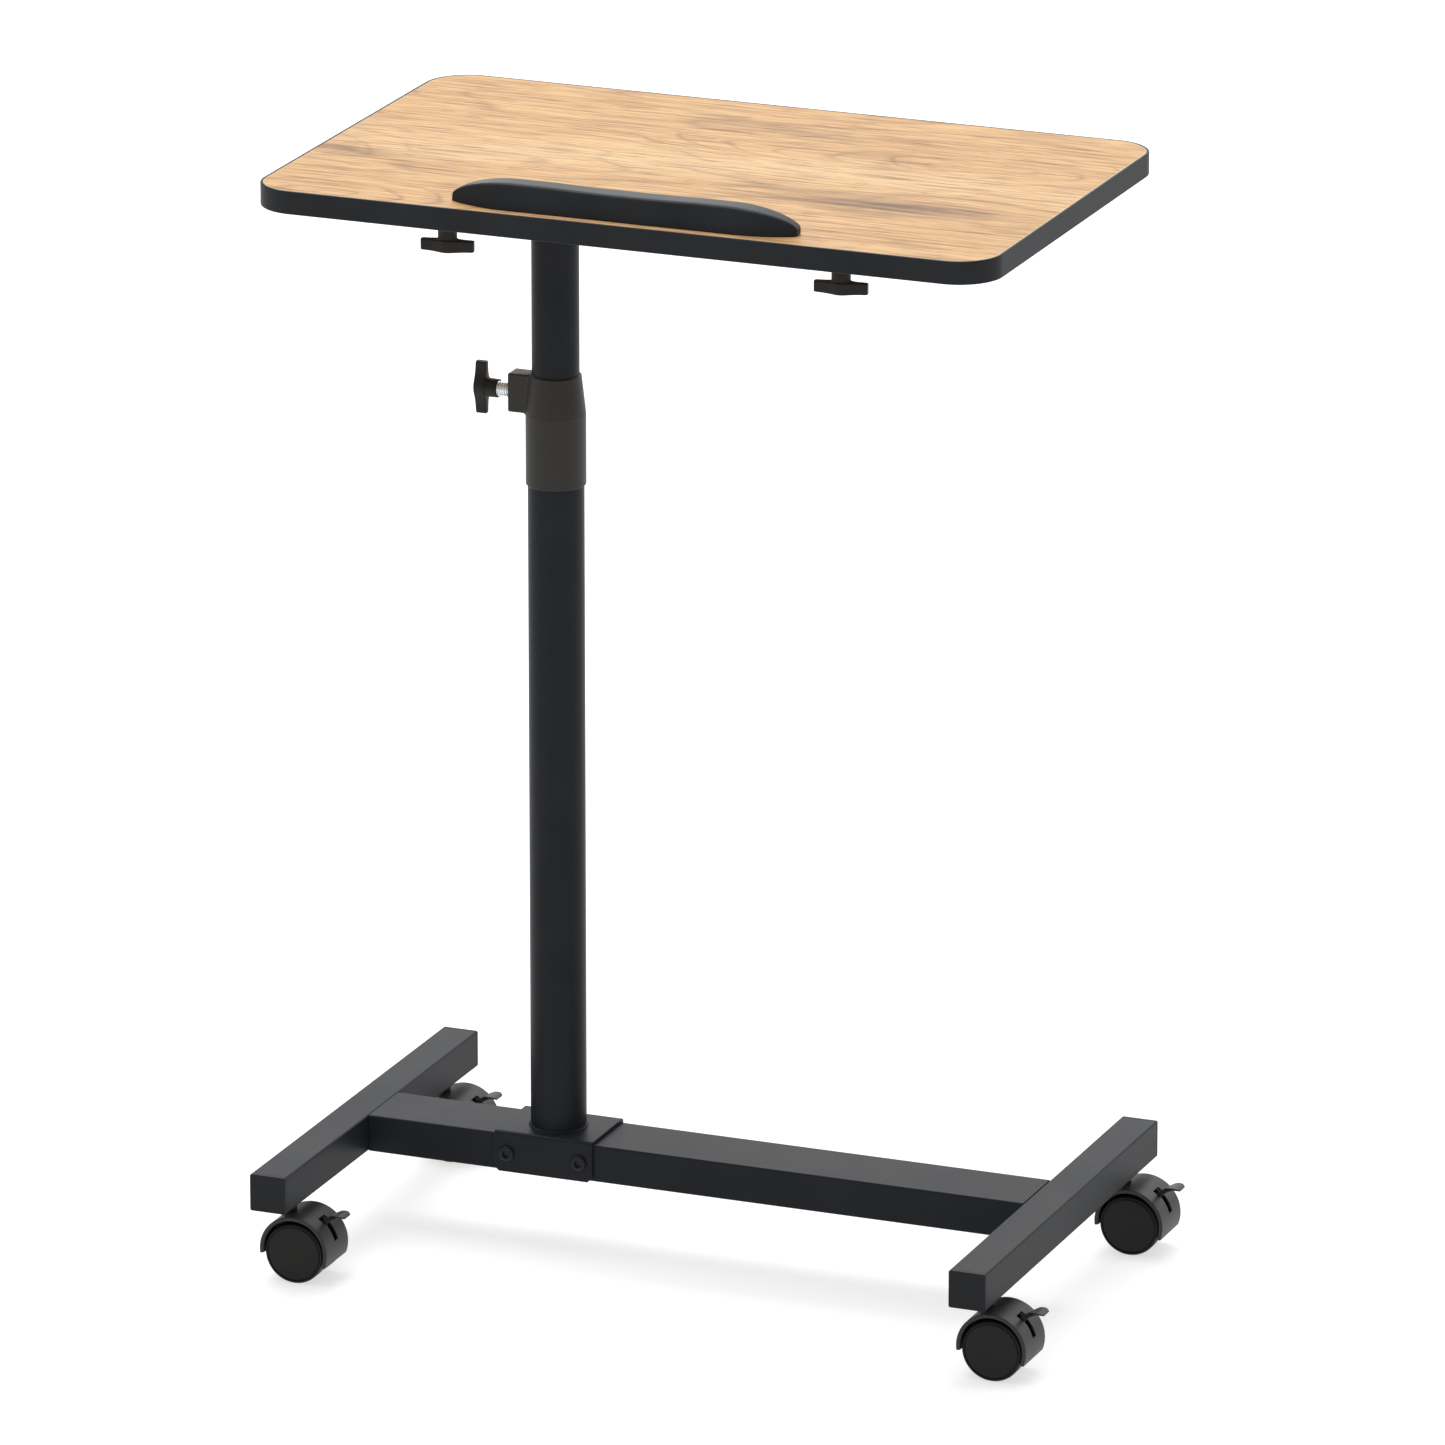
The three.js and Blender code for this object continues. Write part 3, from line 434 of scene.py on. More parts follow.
def eased(corners, reach, steps=5):
    """Rounds off the corners of closed outlines: each becomes a parabola that starts
    'reach' before the corner, ends as far after it, and has the corner as control point."""
    corners = np.asarray(corners, float)
    before = np.roll(corners, 1, -2) - corners
    after = np.roll(corners, -1, -2) - corners
    reach = np.broadcast_to(reach, corners.shape[:-1])[..., None]
    start = corners + before / np.linalg.norm(before, axis=-1, keepdims=True) * reach
    end = corners + after / np.linalg.norm(after, axis=-1, keepdims=True) * reach
    t = np.linspace(0, 1, steps + 1)[:, None]
    curve = bent(start[..., None, :], corners[..., None, :], end[..., None, :], t)
    return curve.reshape(*corners.shape[:-2], -1, 2)


def stop_section(x, half, low, high, front, back):
    """Cross section at x: a raked quadrilateral. Beyond the shoulder its height falls as
    (1 - s squared) to the fall power, s going from 0 to 1 at the tip, and its front edge
    comes back by s squared. The top also dips a little in the middle, as a parabola."""
    fall = np.clip((np.abs(x) - STOP_SHOULDER) / (half - STOP_SHOULDER), 0, 1)
    sweep = np.clip((np.abs(x) - STOP_STRAIGHT) / (half - STOP_STRAIGHT), 0, 1)
    dip = STOP_DIP * np.clip(1 - (x / STOP_DIP_HALF) ** 2, 0, 1)
    full = high - low - STOP_TIP_HEIGHT
    height = STOP_TIP_HEIGHT + full * (1 - fall ** 2) ** STOP_FALL_POWER - dip
    part = height / (high - low)
    foot = front + STOP_SWEEP * sweep ** 2
    corners = np.stack([
        np.stack([np.full_like(x, back), np.full_like(x, low)], -1),
        np.stack([foot, np.full_like(x, low)], -1),
        np.stack([foot + STOP_RAKE * part, low + height], -1),
        np.stack([np.full_like(x, back), low + height], -1),
    ], -2)
    same = np.ones_like(part)
    reach = np.stack([same, same, part, part], -1) * STOP_BENDS
    return eased(corners, reach)


stop_low, stop_high = cad_box("stop_bar")
stop_half = (stop_high[0] - stop_low[0]) / 2
stop_x = -stop_half * np.cos(np.linspace(0, math.pi, 97))
stop_rings = stop_section(stop_x, stop_half, stop_low[2], stop_high[2], stop_low[1], stop_high[1])
stop_left = stop_half - np.abs(stop_x)
stop_drawn = np.clip(STOP_TIP_ROUND - stop_left, 0, STOP_TIP_ROUND) ** 2 / STOP_TIP_ROUND * STOP_TIP_SHRINK
stop_core = stop_rings.mean(1, keepdims=True)
stop_rings = stop_core + (stop_rings - stop_core) * (1 - stop_drawn)[:, None, None]
stop_rings = along(stop_rings, (stop_x + (stop_high[0] + stop_low[0]) / 2)[:, None], "x")
stop_black = moulded(
    "stop_black", (0.0185, 0.0203, 0.0225), roughness=0.42, grain=1500, depth=0.00002,
    shine=0.17, tint=(0.9, 0.95, 1.0),
)
fit("book_stop", [skin(stop_rings)], stop_black, "board", ["stop_bar"])

# ---------------------------------------------------------------------------------------
# H base: two legs and a flat crossbar of 1.5 mm black powder-coated steel tube, welded
# together. Each leg end has a pushed-in plastic cap, flush with the tube.

TUBE_CORNER = 1.5
TUBE_WALL = 1.5
TUBE_ARRIS = 0.2
LEAST_CORNER = 0.8
CAP_SOFT = 0.45
CAP_FLANGE = 2.5
CAP_PLAY = 0.4

black_steel = moulded(
    "black_steel", (0.0155, 0.0170, 0.0196), roughness=0.42, grain=750, depth=0.000035,
    shine=0.085, tint=(0.88, 0.93, 1.0),
)
cap_plastic = moulded(
    "cap_plastic", (0.0088, 0.0100, 0.0118), roughness=0.48, grain=1500, depth=0.00002, shine=0.18,
)


def tube(node, axis, corner=TUBE_CORNER, wall=TUBE_WALL):
    """A rectangular tube over a CAD node's box, open at both ends: outside and inside
    outline joined in a ring of four stations."""
    low, high = cad_box(node)
    across = {"x": [1, 2], "y": [0, 2]}[axis]
    middle, half = (low + high)[across] / 2, (high - low)[across] / 2
    start, end = low["xyz".index(axis)], high["xyz".index(axis)]
    inset = np.array([wall, TUBE_ARRIS, 0, 0, TUBE_ARRIS, wall])
    stations = np.array([start, start, start + TUBE_ARRIS, end - TUBE_ARRIS, end, end])
    rings = rounded(half[0] - inset, half[1] - inset, np.maximum(corner - inset, LEAST_CORNER), 6)
    return skin(along(rings + middle, stations[:, None], axis), True)


def leg_cap(node, outwards):
    """A cap on a leg's end: a flange with a softened rim, and a plug inside the tube."""
    low, high = cad_box(node)
    middle, half = (low + high)[[0, 2]] / 2, (high - low)[[0, 2]] / 2
    face, back = (high[1], low[1]) if outwards > 0 else (low[1], high[1])
    flange = CAP_FLANGE * outwards
    turn = np.linspace(0, math.pi / 2, 5)
    plug = TUBE_WALL + CAP_PLAY
    inset = np.concatenate([CAP_SOFT * (1 - np.sin(turn)), [0, plug, plug]])
    stations = np.concatenate([
        face - outwards * CAP_SOFT * (1 - np.cos(turn)), [face - flange, face - flange, back],
    ])
    corner = np.maximum(TUBE_CORNER - inset, LEAST_CORNER)
    rings = rounded(half[0] - inset, half[1] - inset, corner, 6)
    return skin(along(rings + middle, stations[:, None], "y"))


for side in ("left", "right"):
    fit(f"{side}_leg_tube", [tube(f"{side}_leg", "y")], black_steel, "base", [f"{side}_leg"])
    for end, outwards in (("front", -1), ("rear", 1)):
        cap_node = f"{side}_leg_cap_{end}"
        fit(
            f"{side}_{end}_cap", [leg_cap(cap_node, outwards)],
            cap_plastic, "base", [cap_node],
        )
fit("crossbar_tube", [tube("crossbar", "x")], black_steel, "base", ["crossbar"])

# ---------------------------------------------------------------------------------------
# Column bracket: a 2.5 mm sheet folded over the crossbar like a saddle, its lower corners
# clipped. Two button-head socket screws go through it into weld nuts at the back.

BRACKET_SHEET = 2.5
BRACKET_CLIP = 4.0
BRACKET_CLIP_RISE = 0.9
BRACKET_BEND = 3.4
BRACKET_INNER_BEND = 0.8
SHEET_SOFT = 0.5
SHEET_INNER_SHARE = 0.4
SCREW_RADIUS = 6.25
SCREW_RIM = 0.7
SCREW_DOME_DRAW = 2.0
SCREW_MOUTH = 3.9
SCREW_SOCKET = 2.9
SCREW_SHANK = 3.6
NUT_FLAT = 6.2
NUT_BORE = 4.2
SCREW_SHIFT = 30.5
ROUND_STEPS = 60

bracket_low, bracket_high = cad_box("column_bracket")
screw_low, screw_high = cad_box("bracket_screw_left")
screw_z = (screw_low[2] + screw_high[2]) / 2
bracket_middle = (bracket_low[0] + bracket_high[0]) / 2
screw_places = (bracket_middle - SCREW_SHIFT, bracket_middle + SCREW_SHIFT)


def saddle_sheet():
    """The folded sheet: a U-shaped section carried along X, with soft outer bends. Its
    two open ends rise by the clip near the bracket's ends, in a straight line."""
    outer = -bracket_low[1]
    inner = outer - BRACKET_SHEET
    inset, x = rim(bracket_low[0], bracket_high[0], SHEET_SOFT, 3)
    half = (bracket_high[0] - bracket_low[0]) / 2
    x = np.insert(x, 4, bracket_low[0] + BRACKET_CLIP)
    x = np.insert(x, -4, bracket_high[0] - BRACKET_CLIP)
    inset = np.insert(inset, 4, 0)
    inset = np.insert(inset, -4, 0)
    past_clip = np.clip(np.abs(x - bracket_middle) - (half - BRACKET_CLIP), 0, None)
    foot = bracket_low[2] + past_clip * BRACKET_CLIP_RISE
    top = bracket_high[2] - inset
    inner_inset = inset * SHEET_INNER_SHARE
    ceiling = bracket_high[2] - BRACKET_SHEET + inner_inset
    out, within = outer - inset, inner + inner_inset
    corners = np.stack([
        np.stack([-out, foot], -1), np.stack([-within, foot], -1), np.stack([-within, ceiling], -1),
        np.stack([within, ceiling], -1), np.stack([within, foot], -1), np.stack([out, foot], -1),
        np.stack([out, top], -1), np.stack([-out, top], -1),
    ], -2)
    bends = [SHEET_SOFT, BRACKET_INNER_BEND, SHEET_SOFT, BRACKET_BEND]
    reach = np.repeat(bends, 2)
    return skin(along(eased(corners, reach), x[:, None], "x"))


def hexagon(turn, flat):
    """Distance to a hexagon's side in each direction: the half width across its flats
    over the cosine of the angle to the nearest flat's middle."""
    third = math.pi / 3
    return flat / np.cos((turn + third / 2) % third - third / 2)


def turned(profile, axis, middle, steps=64, closed=False):
    """A profile of (radius, position) turned about an axis through a middle point."""
    profile = np.asarray(profile, float)
    turn = np.linspace(0, 2 * math.pi, steps, endpoint=False)
    circle = np.stack([np.cos(turn), np.sin(turn)], -1)
    rings = along(profile[:, None, :1] * circle, profile[:, 1:], axis)
    return skin(rings + np.asarray(middle, float), closed)


def ringed(radii, places, axis, middle):
    """Rings about an axis: a row of radii for each place along it, one for each direction.
    A row that is one number is a circle."""
    steps = max(np.size(row) for row in radii)
    turn = np.linspace(0, 2 * math.pi, steps, endpoint=False)
    radii = np.stack([np.broadcast_to(row, steps) for row in radii])
    outlines = np.stack([radii * np.cos(turn), radii * np.sin(turn)], -1)
    return skin(along(outlines, np.asarray(places)[:, None], axis) + np.asarray(middle, float))


def socket_screw(x):
    """A button head with a hexagon socket. Its radius shrinks by the square of the way up
    the dome, and its height follows a sine. The socket's rings change from round at the
    mouth to six-sided inside."""
    turn = np.linspace(0, 2 * math.pi, ROUND_STEPS, endpoint=False)
    back = bracket_low[1] - 0.05
    head = back - screw_low[1]
    arc = np.linspace(0, 1, 7)
    dome = SCREW_RADIUS - SCREW_DOME_DRAW * arc ** 2
    dome_y = back - SCREW_RIM - (head - SCREW_RIM) * np.sin(arc * math.pi / 2)
    radii = [
        SCREW_MOUTH, SCREW_RADIUS - 0.3, SCREW_RADIUS, *dome,
        SCREW_MOUTH, hexagon(turn, SCREW_SOCKET), hexagon(turn, SCREW_SOCKET - 0.1),
    ]
    places = [back, back, back - 0.3, *dome_y, screw_low[1], screw_low[1] + 0.5, back - 0.6]
    return ringed(radii, places, "y", (x, 0, screw_z))


def weld_nut(x):
    """A hexagon nut with turned-down corners, and the screw's end standing out of it."""
    nut = hexagon(np.linspace(0, 2 * math.pi, ROUND_STEPS, endpoint=False), NUT_FLAT)
    face = -bracket_low[1]
    reach = bracket_high[1] - face
    radii = [nut, nut, np.minimum(nut, NUT_FLAT + 0.15), NUT_BORE + 0.4, NUT_BORE, NUT_BORE]
    places = face + np.array([0.02, reach - 0.9, reach - 0.1, reach, reach - 0.8, reach - 1.2])
    return ringed(radii, places, "y", (x, 0, screw_z))


fit(
    "saddle_bracket", [saddle_sheet(), *(weld_nut(x) for x in screw_places)],
    black_steel, "base", ["column_bracket"],
)
black_screw = moulded(
    "black_screw", (0.0095, 0.0105, 0.0118), roughness=0.40, grain=2500, depth=0.00001, shine=0.22,
)
for side, x in zip(("left", "right"), screw_places):
    shank_profile = [
        (SCREW_SHANK, screw_low[1] + 3), (SCREW_SHANK, screw_high[1] - 0.6),
        (SCREW_SHANK - 0.5, screw_high[1]),
    ]
    shank = turned(shank_profile, "y", (x, 0, screw_z), 32)
    fit(
        f"socket_screw_{side}", [socket_screw(x), shank],
        black_screw, "base", [f"bracket_screw_{side}"],
    )

# ---------------------------------------------------------------------------------------
# Outer column tube: 44 mm steel tube, powder-coated, standing on the bracket in a fillet
# weld. The bead swells and sinks a little from puddle to puddle.

WELD_SIZE = 1.7
WELD_SWELL = 0.1
WELD_SLUMP = 0.85
WELD_PUDDLES = 46


def round_tube(node, middle, soft=0.4):
    """A round tube over a CAD node's box: outer and inner wall, with eased ends."""
    low, high = cad_box(node)
    outer, inner = (high[0] - low[0]) / 2, (high[0] - low[0]) / 2 - TUBE_WALL
    profile = [
        (inner, low[2] + soft), (inner + soft, low[2]), (outer - soft, low[2]), (outer, low[2] + soft),
        (outer, high[2] - soft), (outer - soft, high[2]), (inner + soft, high[2]), (inner, high[2] - soft),
    ]
    return turned(profile, "z", middle, 96, closed=True)


def weld_bead(radius, foot, middle, size, puddles):
    """A bead round a tube's foot: a quarter of a circle in section, whose size swells by
    a share that follows a cosine of the turn."""
    turn = np.linspace(0, 2 * math.pi, puddles * 6, endpoint=False)
    swell = size * (1 + WELD_SWELL * np.cos(puddles * turn)) / (1 + WELD_SWELL)
    arc = np.linspace(0, math.pi / 2, 5)[:, None]
    out = np.concatenate([radius + swell * np.cos(arc), np.full((1, len(turn)), radius - 0.3)])
    up = np.concatenate([foot + swell * np.sin(arc) * WELD_SLUMP, np.full((1, len(turn)), foot)])
    rings = np.stack([out * np.cos(turn), out * np.sin(turn), up], -1)
    return skin(rings + np.array([middle[0], middle[1], 0]), True)


outer_low, outer_high = cad_box("outer_tube")
column_axis = np.array([(outer_low[0] + outer_high[0]) / 2, 0, 0])
outer_radius = (outer_high[0] - outer_low[0]) / 2
fit(
    "column_tube", [
        round_tube("outer_tube", column_axis),
        weld_bead(outer_radius, bracket_high[2], column_axis, WELD_SIZE, WELD_PUDDLES),
    ],
    black_steel, "base", ["outer_tube"],
)

# ---------------------------------------------------------------------------------------
# Inner column tube: 37 mm steel tube that slides in the outer one and carries the tilt
# frame. Two white nylon bushes, hidden inside, guide it.


def repaint(finish, *nodes):
    """Gives CAD nodes whose shape is kept their finish."""
    for name in nodes:
        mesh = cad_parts[name].data
        mesh.materials.clear()
        mesh.materials.append(finish)


fit(
    "lifting_tube", [round_tube("inner_tube", column_axis)],
    black_steel, "column_head", ["inner_tube"],
)
white_nylon = moulded(
    "white_nylon", (0.72, 0.71, 0.67), roughness=0.5, grain=900, depth=0.00002, shine=0.4,
)
repaint(white_nylon, "upper_glide_bush", "lower_glide_bush", "column_clamp_pad")

# ---------------------------------------------------------------------------------------
# Collar: a moulded nylon sleeve pushed over the top of the outer tube. It tapers in to
# the inner tube, and a block on its left holds the threaded insert for the clamp stud.

COLLAR_TAPER = 31.0
COLLAR_TOP_RADIUS = 20.0
COLLAR_RIM = 1.1
COLLAR_NARROW_BORE = 18.8
COLLAR_WIDE_BORE = 22.3
BLOCK_ROUND = 1.5
BLOCK_BLEND = 2.6
BLOCK_LEFT = -37.0
BLOCK_TALL = 31.0
BLOCK_DEEP = 17.0
STUD_RECESS_RADIUS = 7.0
STUD_RECESS_DEPTH = 1.2
FAR_OUTSIDE = 46.0
MARCH_STEPS = 90
MARCH_SHARE = 0.9

collar_low, collar_high = cad_box("collar")
collar_radius = collar_high[0] - column_axis[0]
stud_low, stud_high = cad_box("column_stud")
clamp_z = (stud_low[2] + stud_high[2]) / 2


def collar_distance(x, y, z):
    """Signed distance to the collar's outside, near enough: a sleeve whose radius shrinks
    over the taper, joined to a rounded block with a blend, less a shallow round recess."""
    up = np.clip((z - (collar_high[2] - COLLAR_TAPER)) / COLLAR_TAPER, 0, 1)
    soft_up = up + 0.03 * np.exp(-((up / 0.08) ** 2)) * (up > 0)
    radius = collar_radius - (collar_radius - COLLAR_TOP_RADIUS) * np.minimum(soft_up, 1)
    ends = np.minimum(z - collar_low[2], collar_high[2] - z)
    radius = radius - COLLAR_RIM * np.clip(1 - ends / COLLAR_RIM, 0, 1) ** 2
    sleeve = np.hypot(x, y) - radius
    reach = np.stack([
        np.abs(x - BLOCK_LEFT / 2) + BLOCK_LEFT / 2,
        np.abs(y) - BLOCK_DEEP / 2,
        np.abs(z - clamp_z) - BLOCK_TALL / 2,
    ]) + BLOCK_ROUND
    outside = np.linalg.norm(np.clip(reach, 0, None), axis=0)
    block = outside + np.minimum(reach.max(0), 0) - BLOCK_ROUND
    part = np.clip(0.5 + 0.5 * (block - sleeve) / BLOCK_BLEND, 0, 1)
    joined = block + (sleeve - block) * part - BLOCK_BLEND * part * (1 - part)
    recess = np.maximum(
        np.hypot(y, z - clamp_z) - STUD_RECESS_RADIUS, x - (BLOCK_LEFT + STUD_RECESS_DEPTH),
    )
    return np.maximum(joined, -recess)


def crowded(edges, low, high, coarse, fine, reach):
    """Stations from low to high: a coarse spacing, with fine ones within reach of each
    of the edges."""
    marks = [np.arange(low, high, coarse), [high]]
    marks += [np.arange(edge - reach, edge + reach, fine) for edge in edges]
    marks = np.unique(np.round(np.concatenate(marks), 4))
    marks = marks[(marks >= low) & (marks <= high)]
    return marks[np.insert(np.diff(marks) > fine / 2, 0, True)]


def collar_skin():
    """Outside: in each direction and at each height, a point comes in from far outside
    by its distance to the collar until it lies on it. Inside: the bores of both tubes."""
    face_z = [clamp_z - BLOCK_TALL / 2, clamp_z + BLOCK_TALL / 2]
    z = crowded(face_z, collar_low[2], collar_high[2], 1.1, 0.18, 2.2)
    rim_z = np.linspace(0, COLLAR_RIM, 5)
    z = np.unique(np.concatenate([z, collar_low[2] + rim_z, collar_high[2] - rim_z]))
    corner = math.degrees(math.atan2(BLOCK_DEEP / 2, -BLOCK_LEFT))
    turn = np.radians(180 + crowded([-corner, 0, corner], -180, 179, 3, 0.35, 11))
    far = np.full((len(z), len(turn)), FAR_OUTSIDE)
    heights = z[:, None] + 0 * far
    for _ in range(MARCH_STEPS):
        far = far - MARCH_SHARE * collar_distance(far * np.cos(turn), far * np.sin(turn), heights)
    outside = np.stack([far * np.cos(turn), far * np.sin(turn), heights], -1)
    bores = [
        (COLLAR_NARROW_BORE, collar_high[2]), (COLLAR_NARROW_BORE, outer_high[2] + 2.3),
        (COLLAR_WIDE_BORE, outer_high[2] + 0.3), (COLLAR_WIDE_BORE, collar_low[2]),
    ]
    inside = [np.stack([r * np.cos(turn), r * np.sin(turn), 0 * turn + h], -1) for r, h in bores]
    return skin(np.concatenate([outside, inside]) + column_axis, True)


collar_plastic = moulded(
    "collar_plastic", (0.0225, 0.0213, 0.0190), roughness=0.50, grain=1100, depth=0.00003, shine=0.28,
)
fit("column_collar", [collar_skin()], collar_plastic, "base", ["collar"], crease=50)

# ---------------------------------------------------------------------------------------
# T-knobs: moulded nylon, boat-shaped in plan, with a crowned grip face and a hub that is
# moulded over the stud. One clamps the column and two clamp the board's tilt.

KNOB_HALF = 20.75
KNOB_WIDTH = 13.5
KNOB_TIP_WIDTH = 5.6
KNOB_DEEP = 9.0
KNOB_CROWN = 0.6
KNOB_BELL = 8.6
KNOB_TIP_ROUND = 2.5
HUB_RADIUS = 7.4
STUD_RADIUS = 6.0
STUD_PITCH = 2.0
STUD_THREAD_DEPTH = 0.85


def knob_skins(hub, turn_to, place, stud_radius):
    """Grip and hub in the knob's own frame (grip along X, stud along +Z), then turned by
    the 3 by 3 matrix and moved. The grip's width falls from the middle to the tips as a
    bell curve, and its outer face is crowned; the tips round off as an ellipse."""
    s = np.sin(np.linspace(-math.pi / 2, math.pi / 2, 61))
    x = KNOB_HALF * s
    tip = np.clip((np.abs(x) - (KNOB_HALF - KNOB_TIP_ROUND)) / KNOB_TIP_ROUND, 0, 1)
    round_off = 1 - 0.24 * (1 - np.sqrt(1 - tip ** 2))
    bell = np.exp(-((x / KNOB_BELL) ** 2))
    half_width = (KNOB_TIP_WIDTH + (KNOB_WIDTH - KNOB_TIP_WIDTH) * bell) / 2 * round_off
    face = KNOB_CROWN * np.clip(np.abs(x) / KNOB_HALF, 0, 1) ** 1.5
    half_depth = (KNOB_DEEP + KNOB_CROWN - face) / 2 * (1 - 0.3 * (1 - round_off))
    corner = np.minimum(1.2, half_width * 0.45)
    outlines = rounded(half_width, half_depth, corner, 5)
    outlines[..., 1] += ((KNOB_DEEP + KNOB_CROWN + face) / 2)[:, None]
    grip = skin(along(outlines, x[:, None], "x"))
    top = KNOB_DEEP + KNOB_CROWN
    profile = [
        (HUB_RADIUS - 1, top - 2), (HUB_RADIUS + 1.2, top - 0.2), (HUB_RADIUS + 0.35, top + 0.5),
        (HUB_RADIUS, top + 1.4), (HUB_RADIUS - 0.1, top + hub - 0.5), (HUB_RADIUS - 0.6, top + hub),
        (stud_radius + 0.9, top + hub), (stud_radius + 0.15, top + hub - 0.9),
        (stud_radius + 0.1, top - 1.5),
    ]
    hub_skin = turned(profile, "z", (0, 0, 0), 56, closed=True)
    turn_to, place = np.asarray(turn_to, float), np.asarray(place, float)
    return [(points @ turn_to.T + place, faces) for points, faces in (grip, hub_skin)]


def threaded(low, high, radius, pitch, depth, axis, middle):
    """A threaded rod: its radius follows a triangle wave of the height over the pitch
    less the turn, so that the crest winds up as a helix, and fades out at both ends."""
    turn = np.linspace(0, 2 * math.pi, 48, endpoint=False)
    height = np.linspace(low, high, int((high - low) / pitch * 10) + 1)
    wave = (height[:, None] / pitch - turn / (2 * math.pi)) % 1
    dip = np.clip(1.15 - np.abs(2 * wave - 1) * 1.3, 0, 1)
    chamfer = np.clip(1 - np.minimum(height - low, high - height) / 1.0, 0, 1)[:, None]
    return ringed(radius - depth * np.maximum(dip, chamfer), height, axis, middle)


knob_low, knob_high = cad_box("column_knob")
knob_plastic = moulded(
    "knob_plastic", (0.0125, 0.0120, 0.0108), roughness=0.50, grain=1100, depth=0.00003, shine=0.22,
)
zinc_steel = moulded(
    "zinc_steel", (0.86, 0.89, 0.88), roughness=0.34, grain=1800, depth=0.000004,
    shine=0.5, metal=0.75,
)
to_the_left = [[0, 0, 1], [0, 1, 0], [-1, 0, 0]]
column_hub = knob_high[0] - knob_low[0] - KNOB_DEEP - KNOB_CROWN
fit(
    "column_t_knob", knob_skins(column_hub, to_the_left, (knob_low[0], 0, clamp_z), STUD_RADIUS),
    knob_plastic, "column_knob", ["column_knob"],
)
column_thread = threaded(
    stud_low[0], stud_high[0], STUD_RADIUS, STUD_PITCH, STUD_THREAD_DEPTH, "x", (0, 0, clamp_z),
)
fit(
    "column_threaded_stud", [column_thread],
    zinc_steel, "column_knob", ["column_stud"], crease=60,
)

# ---------------------------------------------------------------------------------------
# Tilt frame: a steel rail welded across the top of the inner tube, an arm at each end,
# and a bright rod between the arms, near the front, that the board turns on. Two rubber
# pads on the rail carry the board when it is level.

ARM_EYE = 6.8
ARM_REACH = 25.0
ARM_DROP = 13.0
ARM_SOFT = 0.6
RAIL_CORNER = 2.2
RAIL_WALL = 2.0
PAD_SOFT = 1.2
PAD_ARRIS = 0.4
ROD_CHAMFER = 0.7

rail_low, rail_high = cad_box("tilt_rail")
rod_low, rod_high = cad_box("pivot_rod")
rod_place = np.array([0, (rod_low[1] + rod_high[1]) / 2, (rod_low[2] + rod_high[2]) / 2])
rod_radius = (rod_high[2] - rod_low[2]) / 2


def drawn_in(outline, distance):
    """Outlines parallel to one outline, each drawn in by its distance: a point moves by
    the sum of its two edges' inward normals, over one plus their dot product."""
    edge = np.roll(outline, -1, 0) - outline
    normal = np.stack([-edge[:, 1], edge[:, 0]], -1) / np.linalg.norm(edge, axis=1, keepdims=True)
    before = np.roll(normal, 1, 0)
    move = (normal + before) / (1 + (normal * before).sum(1, keepdims=True))
    return outline + np.asarray(distance, float)[:, None, None] * move


def plate(outline, low, high, soft, axis):
    """An anticlockwise outline carried straight along an axis, with both rims rounded."""
    inset, place = rim(low, high, soft, 3)
    return skin(along(drawn_in(np.asarray(outline, float), inset), place[:, None], axis))


def arm_outline():
    """Side view of an arm, in Y and Z: as tall as the rail at the back, tapering forward
    to a round eye about the rod."""
    rear = rail_high[1]
    eye_angle = np.radians(np.linspace(90, 270, 13))
    eye = rod_place[1:] + ARM_EYE * np.stack([np.cos(eye_angle), np.sin(eye_angle)], -1)
    back = [(rear, rail_low[2]), (rear, rail_high[2]), (-rear, rail_high[2])]
    front = [(-rear - ARM_REACH, rod_place[2] - ARM_DROP), (-rear, rail_low[2])]
    return np.concatenate([np.array(back), eye, np.array(front)])


pad_rubber = moulded(
    "pad_rubber", (0.016, 0.016, 0.016), roughness=0.75, grain=700, depth=0.00004, shine=0.25,
)
fit(
    "tilt_frame_rail", [tube("tilt_rail", "x", RAIL_CORNER, RAIL_WALL)],
    black_steel, "column_head", ["tilt_rail"],
)
for side in ("left", "right"):
    arm_low, arm_high = cad_box(f"tilt_arm_{side}")
    fit(
        f"tilt_side_arm_{side}", [plate(arm_outline(), arm_low[0], arm_high[0], ARM_SOFT, "x")],
        black_steel, "column_head", [f"tilt_arm_{side}"],
    )
    pad_low, pad_high = cad_box(f"rest_pad_{side}")
    pad_radius = (pad_high[0] - pad_low[0]) / 2
    pad_profile = [
        (pad_radius - PAD_ARRIS, pad_low[2]), (pad_radius, pad_low[2] + PAD_ARRIS),
        (pad_radius, pad_high[2] - PAD_SOFT), (pad_radius - PAD_ARRIS, pad_high[2] - 0.35),
        (pad_radius - PAD_SOFT, pad_high[2]),
    ]
    fit(
        f"rubber_pad_{side}", [turned(pad_profile, "z", ((pad_low[0] + pad_high[0]) / 2, 0, 0), 40)],
        pad_rubber, "column_head", [f"rest_pad_{side}"],
    )
rod_profile = [
    (rod_radius - ROD_CHAMFER, rod_low[0]), (rod_radius, rod_low[0] + ROD_CHAMFER),
    (rod_radius, rod_high[0] - ROD_CHAMFER), (rod_radius - ROD_CHAMFER, rod_high[0]),
]
fit(
    "tilt_rod", [turned(rod_profile, "x", rod_place, 40)],
    zinc_steel, "column_head", ["pivot_rod"],
)

# ---------------------------------------------------------------------------------------
# Board clamps: under each side of the board a steel saddle block sits over the rod, and
# a loose jaw below it is drawn up against the rod by a T-knob.

BOARD_KNOB_TURN = math.radians(7)
BOARD_STUD_RADIUS = 4.0
GROOVE_PLAY = 0.3
CLAMP_SOFT = 0.5


